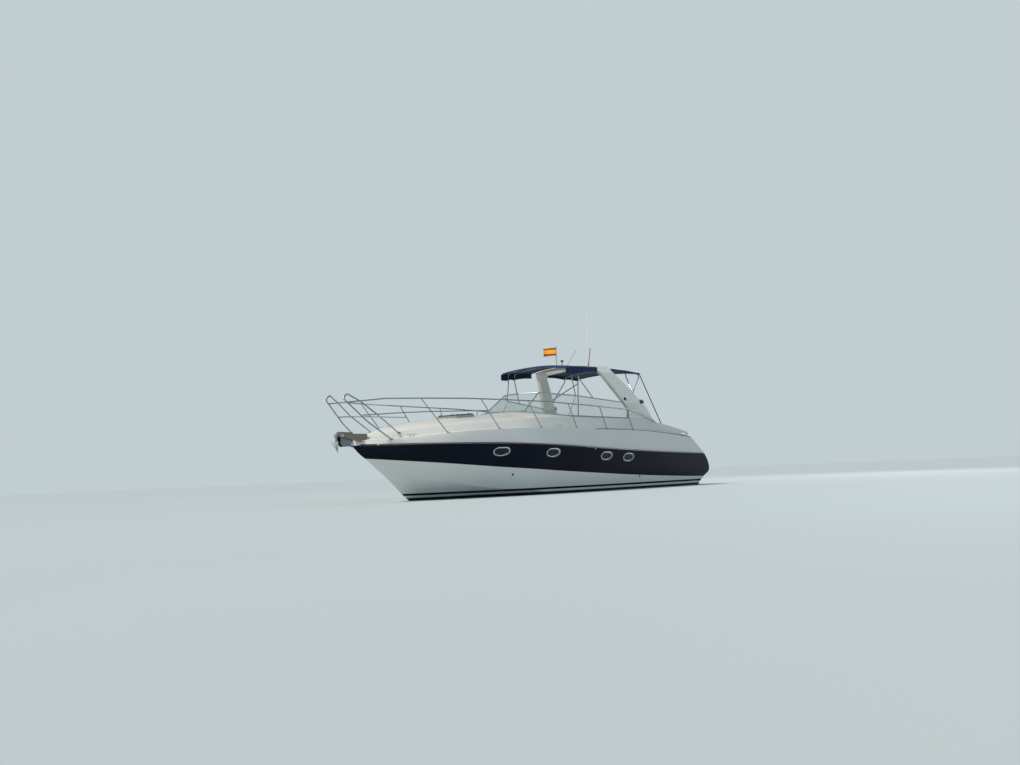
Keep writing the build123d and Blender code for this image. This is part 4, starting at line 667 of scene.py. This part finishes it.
def canvas_top(name, node, table, bows, finish, welt, front_hem, steps=CANVAS_STEPS):
    """One canvas top as a single sheet stretched over its bows, with its hems and seams."""
    low_x, high_x = table[0][0] + CANVAS_ENDS[0], table[-1][0] - CANVAS_ENDS[1]
    sections = []
    for step in range(steps + 1):
        x = low_x + (high_x - low_x) * step / steps
        span = next(((a, b) for a, b in zip(bows, bows[1:]) if a <= x <= b), None)
        pull = sin(pi * (x - span[0]) / (span[1] - span[0])) if span else 0
        row = [size - inset for size, inset in zip(between(table, x), CANVAS_INSETS)]
        sections.append(canvas_section(row, 30, HEM_SCALLOP * pull, CANVAS_SAG * pull))
    count = len(sections[0])
    points = [p for section in sections for p in section]
    sheet = piece(name, points, net(sections), finish)
    thick = sheet.modifiers.new("cloth", "SOLIDIFY")
    thick.thickness = CANVAS_THICK
    thick.offset = -1
    hems = [[s[0] for s in sections], [s[-1] for s in sections], sections[-1 if front_hem else 0]]
    trim = piece(name + "_hem", *hoses(hems, HEM_RADIUS, 6), welt, "boat", "navy_canvas")
    seam_lines = [[s[k] + Vector((0, 0, 0.0005)) for s in sections] for k in (9, count // 2, count - 10)]
    for bow in bows[1:-1]:
        seam_lines.append(min(sections, key=lambda s: abs(s[0].x - bow)))
    seams = piece(name + "_seams", *hoses(seam_lines, SEAM_RADIUS, 5), welt, "boat", "navy_canvas")
    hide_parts(node)


def flag_cloth(staff_foot, heading, size, centre_z, finish):
    """The flag on its staff, in soft ripples that grow towards its fly."""
    length, height = size
    run = Vector((cos(heading), sin(heading), 0))
    side = Vector((-run.y, run.x, 0))
    rows = []
    for j in range(25):
        level = j / 24
        row = []
        for i in range(49):
            along = i / 48
            ripple = FLAG_RIPPLE * along * sin(2 * pi * (1.1 * along + 0.10 * level))
            ripple += FLAG_FLUTTER * sin(5 * along + 2 * level)
            droop = -FLAG_DROOP * along * along
            row.append(staff_foot + run * (0.008 + along * length * 0.97) + side * ripple * along ** 0.5
                       + Vector((0, 0, centre_z - staff_foot.z + (level - 0.5) * height + droop)))
        rows.append(row)
    cloth = piece("flag_cloth", [p for row in rows for p in row], net(rows), finish)
    thick = cloth.modifiers.new("cloth", "SOLIDIFY")
    thick.thickness = FLAG_THICK
    thick.offset = 0
    hoist = [row[0] for row in rows]
    tape = piece("flag_hoist", *hoses([hoist], 0.0035, 6), finish)
    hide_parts("flag")


def solid_boxes(node):
    """The box of each separate solid of a node."""
    mesh = NODES[node].data
    parent = list(range(len(mesh.vertices)))

    def root(i):
        while parent[i] != i:
            parent[i] = parent[parent[i]]
            i = parent[i]
        return i

    merged = {}
    for vertex in mesh.vertices:
        key = tuple(round(c, 4) for c in vertex.co)
        if key in merged:
            parent[root(vertex.index)] = root(merged[key])
        else:
            merged[key] = vertex.index
    for edge in mesh.edges:
        parent[root(edge.vertices[0])] = root(edge.vertices[1])
    groups = {}
    for vertex in mesh.vertices:
        groups.setdefault(root(vertex.index), []).append(vertex.co)
    found = [(Vector(map(min, zip(*group))), Vector(map(max, zip(*group)))) for group in groups.values()]
    return sorted(found, key=lambda pair: tuple(round(c, 3) for c in pair[0]))


def pad_form(low, high, along, lies, channels, crown, pull=PAD_PULL, edge=PAD_EDGE):
    """Points of a stuffed pad: rounded edges, crowned face, sides drawn in between its corners.
    along is the axis that the channels are counted on, lies the axis that its face looks along."""
    middle, half = (low + high) / 2, (high - low) / 2
    other = 3 - along - lies
    cells = {axis: max(8, min(72, ceil(2 * half[axis] / PAD_PITCH))) for axis in (along, other)}
    cells[lies] = 8

    def steps(axis):
        inner = [-1 + 2 * k / cells[axis] for k in range(cells[axis] + 1)]
        soft = edge / half[axis]
        rim = [soft * s for s in (0.12, 0.35, 0.65)]
        return sorted({round(v, 5) for v in inner if abs(v) < 1 - soft} | {-1, 1} |
                      {round(s * (1 - r), 5) for r in rim for s in (-1, 1)})

    grids = {axis: steps(axis) for axis in range(3)}
    index, points, faces, held = {}, [], [], []

    def corner(key):
        if key not in index:
            share = [grids[a][key[a]] for a in range(3)]
            place = Vector([share[a] * half[a] for a in range(3)])
            inside = Vector([max(-half[a] + edge, min(half[a] - edge, place[a])) for a in range(3)])
            out = place - inside
            if out.length > 1e-9:
                place = inside + out.normalized() * edge
            swell = max(0, 1 - share[along] ** 4) * max(0, 1 - share[other] ** 4)
            groove = sum(BELL ** -(((share[along] - c) * half[along]) / CHANNEL_HALF) ** 2 for c in channels)
            rise = crown * (swell ** 0.5) - crown - 0.55 * crown * min(1, groove) * (swell ** 0.25)
            if share[lies] > 0:
                place[lies] += rise * (0.5 + 0.5 * share[lies])
            thick = max(0, 1 - share[lies] ** 2)
            place[along] *= 1 - pull / half[along] * (1 - share[other] ** 2) * (1 - 0.5 * thick)
            place[other] *= 1 - pull / half[other] * (1 - share[along] ** 2) * (1 - 0.5 * thick)
            index[key] = len(points)
            rim = max(abs(share[along]) + edge / half[along], abs(share[other]) + edge / half[other]) > 1.0
            if share[lies] < 0 or groove > 0.45 or (rim and share[lies] > 0.3):
                held.append(len(points))
            points.append(middle + place)
        return index[key]

    sizes = [len(grids[a]) - 1 for a in range(3)]
    for flat in range(3):
        u, v = [a for a in range(3) if a != flat]
        for end, i, j in product((0, sizes[flat]), range(sizes[u]), range(sizes[v])):
            quad = []
            for di, dj in ((0, 0), (1, 0), (1, 1), (0, 1)):
                key = [0, 0, 0]
                key[flat], key[u], key[v] = end, i + di, j + dj
                quad.append(corner(tuple(key)))
            faces.append(tuple(quad))
    return points, faces, held


def stuffed(pads, cap):
    """Swells the covers between their seams by cloth simulation; no point moves further than the cap."""
    stage = bpy.context.scene
    for pad, held in pads:
        seams = pad.vertex_groups.new(name="seams")
        seams.add(held, 1.0, "REPLACE")
        cover = pad.modifiers.new("stuffing", "CLOTH")
        cover.settings.use_pressure = True
        cover.settings.uniform_pressure_force = STUFFING
        cover.settings.vertex_group_mass = "seams"
        cover.settings.effector_weights.gravity = 0
        cover.point_cache.frame_start = 1
        cover.point_cache.frame_end = SIM_FRAMES
    for step in range(1, SIM_FRAMES + 1):
        stage.frame_set(step)
    shapes = bpy.context.evaluated_depsgraph_get()
    for pad, _ in pads:
        ends = [v.co.copy() for v in pad.evaluated_get(shapes).data.vertices]
        for vertex, end in zip(pad.data.vertices, ends):
            shift = end - vertex.co
            vertex.co += shift * min(1, cap / max(shift.length, 1e-9))
    for pad, _ in pads:
        pad.modifiers.remove(pad.modifiers["stuffing"])
        smooth = pad.modifiers.new("smooth", "SUBSURF")
        smooth.levels = smooth.render_levels = 1
    stage.frame_set(1)


def welt_path(low, high, along, lies, pull, edge, level):
    """The seam round a pad's face, a little in from its edge."""
    middle, half = (low + high) / 2, (high - low) / 2
    other = 3 - along - lies
    path = []
    a, b = half[along] - 0.3 * edge, half[other] - 0.3 * edge
    radius = edge * 1.1
    for quarter in range(4):
        centre = ((a - radius) * (1, -1, -1, 1)[quarter], (b - radius) * (1, 1, -1, -1)[quarter])
        for k in range(7):
            turn = pi / 2 * (quarter + k / 6)
            path.append((centre[0] + radius * cos(turn), centre[1] + radius * sin(turn)))
    dense = []
    for (s0, t0), (s1, t1) in zip(path, path[1:] + path[:1]):
        parts = max(1, ceil(hypot(s1 - s0, t1 - t0) / 0.04))
        dense += [(s0 + (s1 - s0) * k / parts, t0 + (t1 - t0) * k / parts) for k in range(parts)]
    line = []
    for s, t in dense:
        point = Vector(middle)
        point[along] += s * (1 - pull / half[along] * (1 - (t / half[other]) ** 2))
        point[other] += t * (1 - pull / half[other] * (1 - (s / half[along]) ** 2))
        point[lies] = high[lies] - level
        line.append(point)
    return line


def cushions(name, node, body, plan, finish, welt):
    """Stuffed pads, one for each solid of a node. The plan gives each its axis of channels, the axis and the sign of
    the way it faces, its number of channels and its crown."""
    made = []
    for number, ((low, high), (along, lies, sign, count, crown)) in enumerate(zip(solid_boxes(node), plan), 1):
        low, high = low.copy(), high.copy()
        channels = [-1 + 2 * (k + 1) / count for k in range(count - 1)]
        if sign < 0:
            low[lies], high[lies] = -high[lies], -low[lies]
        points, faces, held = pad_form(low, high, along, lies, channels, crown)
        seam = welt_path(low, high, along, lies, PAD_PULL, PAD_EDGE, 0.0095 + 0.92 * crown)
        if sign < 0:
            for point in points + seam:
                point[lies] = -point[lies]
        pad = outward(piece(f"{name}_{number}", points, faces, finish, body))
        piece(f"{name}_{number}_welt", *hoses([seam], WELT_RADIUS, 6, closed=True), welt, body, "cream_vinyl")
        made.append((pad, held))
    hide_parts(node)
    return made


def lowest_ring(node, x, reach, rise):
    """The middle of a node's lowest ring of points near station x."""
    near = [v.co for v in NODES[node].data.vertices if abs(v.co.x - x) < reach]
    low = min(p.z for p in near)
    ring = [p for p in near if p.z < low + rise]
    return sum(ring, Vector()) / len(ring)


def outer_edge(node, x, side):
    """The middle of a node's outermost face at station x, on one side."""
    mesh = NODES[node].data
    cuts = []
    for edge in mesh.edges:
        a, b = (mesh.vertices[i].co for i in edge.vertices)
        if a.x != b.x and (a.x - x) * (b.x - x) <= 0 and side * a.y > 0:
            cuts.append(a.lerp(b, (x - a.x) / (b.x - a.x)))
    most = max(side * p.y for p in cuts)
    face = [p for p in cuts if side * p.y > most - 0.0008]
    return sum(face, Vector()) / len(face)


def skin_of(node):
    """What a ray can meet on a node."""
    mesh = NODES[node].data
    return BVHTree.FromPolygons([v.co for v in mesh.vertices], [tuple(face.vertices) for face in mesh.polygons])


def on_side(skin, x, z, side):
    """The place and the outward direction on a side of the boat at station x and height z."""
    place, out = skin.ray_cast(Vector((x, side * 4, z)), Vector((0, -side, 0)))[:2]
    return place, out if out.y * side > 0 else -out


def button(radius, height, sink=0.002):
    """A low domed head: distances along its axis and radii."""
    return ((-sink, radius), (height * 0.4, radius), (height * 0.8, radius * 0.75), (height, radius * 0.35))


def rail_feet(screw):
    """Three screws in the flange of each stanchion's foot."""
    heads = []
    for node in ("bow_rail_port", "bow_rail_starboard"):
        for x in STANCHION_FEET:
            foot = lowest_ring(node, x, 0.032, 0.004)
            for turn in range(3):
                angle = 2 * pi * turn / 3 + 0.5
                place = foot + Vector((0.022 * cos(angle), 0.022 * sin(angle), FLANGE_HEIGHT))
                heads.append((place, (0, 0, 1), button(0.0045, 0.003)))
    piece("rail_foot_screws", *turned(heads, 8), screw)


def strake_inserts(metal):
    """The steel half-round let into the face of each rubbing strake."""
    paths = []
    for side in (1, -1):
        path = []
        for step in range(STRAKE_STEPS + 1):
            x = STRAKE_X[0] + (STRAKE_X[1] - STRAKE_X[0]) * step / STRAKE_STEPS
            path.append(outer_edge("rub_strakes", x, side) - Vector((0, side * 0.004, 0)))
        paths.append(path)
    piece("strake_inserts", *hoses(paths, 0.007, 8), metal)


def hull_fittings(dark, pale):
    """The skin fittings that the photograph shows on the port side, and their mirror."""
    skin = skin_of("hull")
    for name, finish, spots in (("bilge_outlets", dark, BILGE_OUTLETS), ("tank_vents", pale, TANK_VENTS)):
        turns = []
        for x, z in spots:
            for side in (1, -1):
                place, out = on_side(skin, x, z, side)
                turns.append((place, out, ((-0.004, 0.026), (0.004, 0.026), (0.009, 0.022), (0.009, 0.013),
                                           (0.003, 0.012), (0.003, 0.001))))
        piece(name, *turned(turns, 20), finish)


def arch_fittings(dark):
    """The round grille on each side of the arch."""
    skin = skin_of("radar_arch")
    turns = []
    for side in (1, -1):
        place, out = on_side(skin, *ARCH_GRILLE, side)
        turns.append((place, out, ((-0.004, 0.042), (0.004, 0.042), (0.008, 0.036), (0.006, 0.030), (0.008, 0.024),
                                   (0.006, 0.018), (0.008, 0.012), (0.008, 0.001))))
    piece("arch_grilles", *turned(turns, 24), dark)


def helm_fittings(chrome_metal, dark, pale, glass):
    """Dials on the hood, a screen and switches on the raked face, and a compass on top."""
    bezels, faces, needles = [], [], []
    for y, radius in DIALS:
        middle = Vector((DIALS_X, WHEEL_PLACE.y + y, DIALS_Z))
        bezels.append((middle, HOOD_OUT, ((-0.002, radius), (0.007, radius), (0.009, radius * 0.93),
                                          (0.004, radius * 0.86))))
        faces.append((middle, HOOD_OUT, ((0.003, radius * 0.88), (0.0052, radius * 0.84))))
        lean = HOOD_UP * cos(y * 9) + ACROSS * sin(y * 9)
        needles.append((middle + HOOD_OUT * 0.0064 + lean * radius * 0.35, lean * radius * 0.42,
                        lean.cross(HOOD_OUT) * 0.0012, HOOD_OUT * 0.0008))
        for mark in range(TICKS):
            angle = -2.2 + 4.4 * mark / (TICKS - 1)
            tick = HOOD_UP * cos(angle) + ACROSS * sin(angle)
            needles.append((middle + HOOD_OUT * 0.0060 + tick * radius * 0.74, tick * radius * 0.07,
                            tick.cross(HOOD_OUT) * 0.0009, HOOD_OUT * 0.0006))
    piece("dial_bezels", *turned(bezels, 28), chrome_metal)
    piece("dial_faces", *turned(faces, 28), dark)
    piece("dial_marks", *boxes(needles), pale, smooth=False)

    def on_face(y, along):
        return FACE_FOOT + ACROSS * y + FACE_UP * along

    frames = [(on_face(*SCREEN), ACROSS * 0.115, FACE_UP * 0.085, FACE_OUT * 0.007),
              (on_face(-0.275, 0.235), ACROSS * 0.055, FACE_UP * 0.055, FACE_OUT * 0.004),
              (on_face(SCREEN[0], 0.065), ACROSS * 0.115, FACE_UP * 0.032, FACE_OUT * 0.004)]
    piece("helm_panels", *boxes(frames, 0.3), dark, smooth=False)
    piece("helm_screen", *boxes([(on_face(*SCREEN) + FACE_OUT * 0.007, ACROSS * 0.1, FACE_UP * 0.07,
                                  FACE_OUT * 0.001)]), glass, "boat", "smoked_acrylic", smooth=False)
    switches = [(-1.03 + 0.034 * column, 0.065, 0.010, 0.019) for column in range(6)]
    switches += [(-0.305 + 0.03 * column, 0.218 + 0.035 * row, 0.009, 0.013)
                 for column, row in product(range(3), range(2))]
    rockers = [(on_face(y, along) + FACE_OUT * 0.006, ACROSS * half, FACE_UP * tall + FACE_OUT * 0.002,
                FACE_OUT * 0.004) for y, along, half, tall in switches]
    piece("rocker_switches", *boxes(rockers), pale, smooth=False)
    barrel = ((-0.002, 0.013), (0.006, 0.013), (0.008, 0.010))
    piece("start_keys", *turned([(on_face(-0.80, 0.06) + ACROSS * beside, FACE_OUT, barrel) for beside in (0, 0.045)]),
          chrome_metal)
    ball = Vector((COMPASS_X, WHEEL_PLACE.y, COMPASS_Z))
    piece("compass_bowl", *turned([(ball, (0, 0, 1), ((-0.01, 0.048), (0.012, 0.048), (0.020, 0.043)))], 28),
          dark)
    dome = [(0.018 + 0.036 * sin(pi / 2 * k / 6), 0.040 * cos(pi / 2 * k / 6) + 0.0004) for k in range(7)]
    piece("compass_dome", *turned([(ball, (0, 0, 1), dome)], 28), glass, "boat", "smoked_acrylic")


def lid_fittings(metal, dark):
    """Hinges, catches and pulls of the hatch, the locker, the engine lid, the gate and the cabin door."""
    for name, body, axis, half, radius, sides, places in HINGES:
        barrels = [(place, axis, ((-half, radius), (half, radius))) for place in places]
        piece(name, *turned(barrels, sides), metal, body)
    catches = [((7.800, side * 0.17, 1.876), (0, 0, 1), button(0.016, 0.010)) for side in (1, -1)]
    piece("hatch_catches", *turned(catches, 16), dark, "hatch_lid")
    for name, body, above, axis, scale in PULLS:
        place, out = skin_of(body).ray_cast(Vector(above), Vector((0, 0, -1)))[:2]
        profile = [(along, radius * scale) for along, radius in PULL_RING]
        piece(name, *turned([(place, axis or out, profile)], 24), metal, body)
    bolts = [((x, 1.13, 0.96), (0, 0.028, 0), (0, 0, 0.011), (0.003, 0, 0)) for x in (0.6565, 0.6235)]
    piece("gate_latch", *boxes(bolts, 0.4), metal, "transom_gate", smooth=False)
    grips = [[Vector((x, 0.40, z)) for z in (1.08, 1.12, 1.17, 1.21)] for x in (5.3165, 5.3435)]
    piece("door_grips", *hoses(grips, 0.006, 8), metal, "cabin_door")


def place_camera():
    """The camera, where the photograph was taken from."""
    view = bpy.data.cameras.new("camera")
    view.lens = CAMERA_LENS
    view.sensor_width = 36
    view.clip_end = 400
    camera = placed("camera", view)
    ahead = Vector((cos(CAMERA_PITCH) * cos(CAMERA_HEADING), cos(CAMERA_PITCH) * sin(CAMERA_HEADING),
                    sin(CAMERA_PITCH)))
    turn = ahead.to_track_quat("-Z", "Y").to_matrix() @ Matrix.Rotation(-CAMERA_ROLL, 3, "Z")
    camera.matrix_world = Matrix.Translation(CAMERA_PLACE) @ turn.to_4x4()
    bpy.context.scene.camera = camera


def soft_light(name, place, aim, size, power, colour=(1, 1, 1)):
    """One large soft lamp aimed at a point."""
    lamp = bpy.data.lights.new(name, "AREA")
    lamp.shape = "RECTANGLE"
    lamp.size, lamp.size_y = size
    lamp.energy = power
    lamp.color = colour
    holder = placed(name, lamp)
    holder.matrix_world = Matrix.Translation(place) @ (
        Vector(aim) - Vector(place)).to_track_quat("-Z", "Y").to_matrix().to_4x4()
    holder.visible_camera = False


def studio():
    """A pale floor at the waterline, a pale surround and soft lamps."""
    mesh = bpy.data.meshes.new("floor")
    corners = ((-1, -1), (1, -1), (1, 1), (-1, 1))
    mesh.from_pydata([(x * FLOOR_REACH, y * FLOOR_REACH, 0) for x, y in corners], [], [(0, 1, 2, 3)])
    floor = placed("floor", mesh)
    pale = Finish("floor")
    pale.colour(pale.mix(pale.noise(0.2), FLOOR_PALE, shade(FLOOR_PALE, 1.03)))
    pale.roughness(pale.noise(0.5) * 0.1 + 0.75)
    wear(floor, pale.material)

    world = bpy.data.worlds.new("surround")
    bpy.context.scene.world = world
    world.use_nodes = True
    nodes, links = world.node_tree.nodes, world.node_tree.links
    fill = nodes["Background"]
    fill.inputs["Color"].default_value = (*SKY_FILL, 1)
    fill.inputs["Strength"].default_value = SKY_LEVEL
    shown = nodes.new("ShaderNodeBackground")
    shown.inputs["Color"].default_value = (*BACKDROP, 1)
    shown.inputs["Strength"].default_value = 1.0
    rays = nodes.new("ShaderNodeLightPath")
    either = nodes.new("ShaderNodeMath")
    either.operation = "MAXIMUM"
    links.new(rays.outputs["Is Camera Ray"], either.inputs[0])
    links.new(rays.outputs["Is Transmission Ray"], either.inputs[1])
    blend = nodes.new("ShaderNodeMixShader")
    links.new(either.outputs[0], blend.inputs["Fac"])
    links.new(fill.outputs[0], blend.inputs[1])
    links.new(shown.outputs[0], blend.inputs[2])
    links.new(blend.outputs[0], nodes["World Output"].inputs["Surface"])

    sun = bpy.data.lights.new("key", "SUN")
    sun.energy = KEY_LEVEL
    sun.angle = KEY_SOFTNESS
    sun.color = KEY_COLOUR
    placed("key", sun).matrix_world = KEY_AIM.to_track_quat("-Z", "Y").to_matrix().to_4x4()
    soft_light("fill", (10, 20, 9), (5, 0, 1), (14, 8), 300, (0.80, 0.91, 1.0))
    soft_light("stern", (-13, 4, 10), (1, 0, 1), (8, 6), 500, (1.0, 0.96, 0.90))


topsides_finish().on("hull")
deck_finish().on("deck")
moulding_finish().on("radar_arch", "locker_lid", "engine_lid", "transom_gate", "helm_console", "helm_seat_base",
                     "lounge_base", "bench_base")
teak_finish("laid_teak", TEAK).on("cockpit_sole", "cabin_sole")
teak_finish("oiled_teak_and_steel", shade(TEAK, 0.8), 0.09, TABLE_LEG_TOP).on("cockpit_table")
teak_finish("grey_teak", GREY_TEAK, 0.1).on("bow_platform")
# Stainless fittings in the darkened steel colour, with its painted shade
stainless = metal_finish("polished_steel", STEEL_WITH_PAINTED_SHADE, 0.16, 0.05)
stainless.on("bow_rail_port", "bow_rail_starboard", "canopy_bows", "bow_roller", "trim_tabs", "flag_staff")
chrome = metal_finish("chromed_metal", (0.80, 0.80, 0.81), 0.08)
chrome.on("cleats")
levers = metal_finish("levers_and_box", (0.80, 0.80, 0.81), 0.10)
box = levers.z.below(THROTTLE_BOX_TOP)
levers.colour(levers.mix(box, (0.78, 0.78, 0.79), (0.02, 0.02, 0.022)))
levers.into("Metallic", 1 - box)
levers.on("throttle_levers")
rims, shine = porthole_finish("porthole_rings", RIM_OVAL, (0.46, 0.48, 0.50), NAVY)
rims.into("Metallic", shine)
rims.on("porthole_rims")
panes, dark = porthole_finish("porthole_panes", PANE_OVAL, (0.010, 0.014, 0.018), (0.62, 0.64, 0.66), IOR=1.4,
                                Specular_IOR_Level=0.25)
panes.into("Metallic", 1 - dark)
panes.on("porthole_glass")
metal_finish("light_alloy", (0.50, 0.51, 0.53), 0.28, 0.12).on("windscreen_frame", "hatch_frame", "door_tracks")
metal_finish("propeller_steel", (0.60, 0.60, 0.60), 0.28, 0.15).on("propeller_port", "propeller_starboard")
paint_finish("galvanised_steel", (0.36, 0.38, 0.40), 0.5).on("anchor")
paint_finish("drive_paint", (0.022, 0.023, 0.026), 0.35).on(
    "drive_mounts", "drive_yoke_port", "drive_yoke_starboard", "drive_leg_port", "drive_leg_starboard")
paint_finish("engine_paint", (0.10, 0.11, 0.12), 0.4).on("engines")
paint_finish("dark_rubber", (0.016, 0.017, 0.020), 0.55, 0.15).on("rub_strakes")
black_plastic = paint_finish("black_plastic", (0.012, 0.012, 0.013), 0.38, 0.1)
black_plastic.on("arch_lamps")
white_plastic = paint_finish("white_plastic", (0.74, 0.74, 0.71), 0.35, 0.05)
sticks = Finish("aerial_sticks")
whip = sticks.mix(sticks.y.above(0.63), (0.74, 0.74, 0.71), (0.16, 0.035, 0.03))
sticks.colour(sticks.mix(sticks.y.below(0), whip, (0.09, 0.10, 0.11)))
sticks.roughness(sticks.noise(40) * 0.1 + 0.35)
sticks.on("aerials")
paint_finish("brown_plastic", (0.12, 0.05, 0.025), 0.45).on("masthead_light")
paint_finish("dark_webbing", (0.012, 0.014, 0.03), 0.8, 0.1).on("canopy_straps")
wheel = Finish("wheel_leather_and_steel")
reach = ((wheel.x - WHEEL_PLACE.x) ** 2 + (wheel.y - WHEEL_PLACE.y) ** 2 + (wheel.z - WHEEL_PLACE.z) ** 2) ** 0.5
leather = reach.above(WHEEL_RIM_FROM)
stitches = ((wheel.y - WHEEL_PLACE.y) * 900).wave() * leather
wheel.colour(wheel.mix(leather, (0.45, 0.46, 0.48), (0.022, 0.020, 0.020)))
wheel.into("Metallic", 1 - leather)
wheel.roughness(wheel.noise(60) * 0.12 + 0.28 + leather * 0.2)
wheel.relief(wheel.cells(700) * leather + stitches * 0.2, 0.25, 0.0004)
wheel.on("steering_wheel")
glass_finish("tinted_glass", (0.16, 0.22, 0.23), 0.15).on("windscreen_glass")
dark_glass = glass_finish("dark_glass", (0.012, 0.014, 0.018), 0.93)
dark_glass.on("hatch_lid")
glass_finish("smoked_acrylic", (0.03, 0.028, 0.028), 0.85).on("cabin_door")

canvas = canvas_finish()
welt = piping_finish()
canvas_top("canopy_forward_cloth", "canopy_forward", FORWARD_CANVAS, FORWARD_BOWS, canvas, welt, True)
canvas_top("canopy_aft_cloth", "canopy_aft", AFT_CANVAS, AFT_BOWS, canvas, welt, False)
flag_low, flag_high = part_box("flag")
flag_cloth(STAFF, FLAG_HEADING, FLAG_SIZE, (flag_low.z + flag_high.z) / 2, flag_finish(flag_low.z, FLAG_SIZE[1]))

vinyl = vinyl_finish()
pads = []
for name, node, body, plan, fill in (
        ("helm_pad", "helm_cushions", "boat", ((1, 0, 1, 2, 0.02), (1, 2, 1, 2, 0.022)), 0.8),
        ("lounge_pad", "lounge_cushions", "boat", ((0, 2, 1, 4, 0.022), (0, 1, -1, 4, 0.02)), 0.8),
        ("bench_pad", "bench_cushions", "boat", ((1, 0, 1, 3, 0.02), (1, 2, 1, 3, 0.022)), 0.8),
        ("sun_bed", "sun_pad", "engine_lid", ((1, 2, 1, 4, 0.018),), 0.7)):
    pads += cushions(name, node, body, plan, vinyl, welt)
stuffed(pads, PAD_SWELL)

rail_feet(stainless)
strake_inserts(stainless)
hull_fittings(black_plastic, white_plastic)
arch_fittings(black_plastic)
helm_fittings(chrome, black_plastic, white_plastic, dark_glass)
lid_fittings(stainless, black_plastic)

place_camera()
studio()
bpy.context.scene.view_settings.view_transform = "Standard"
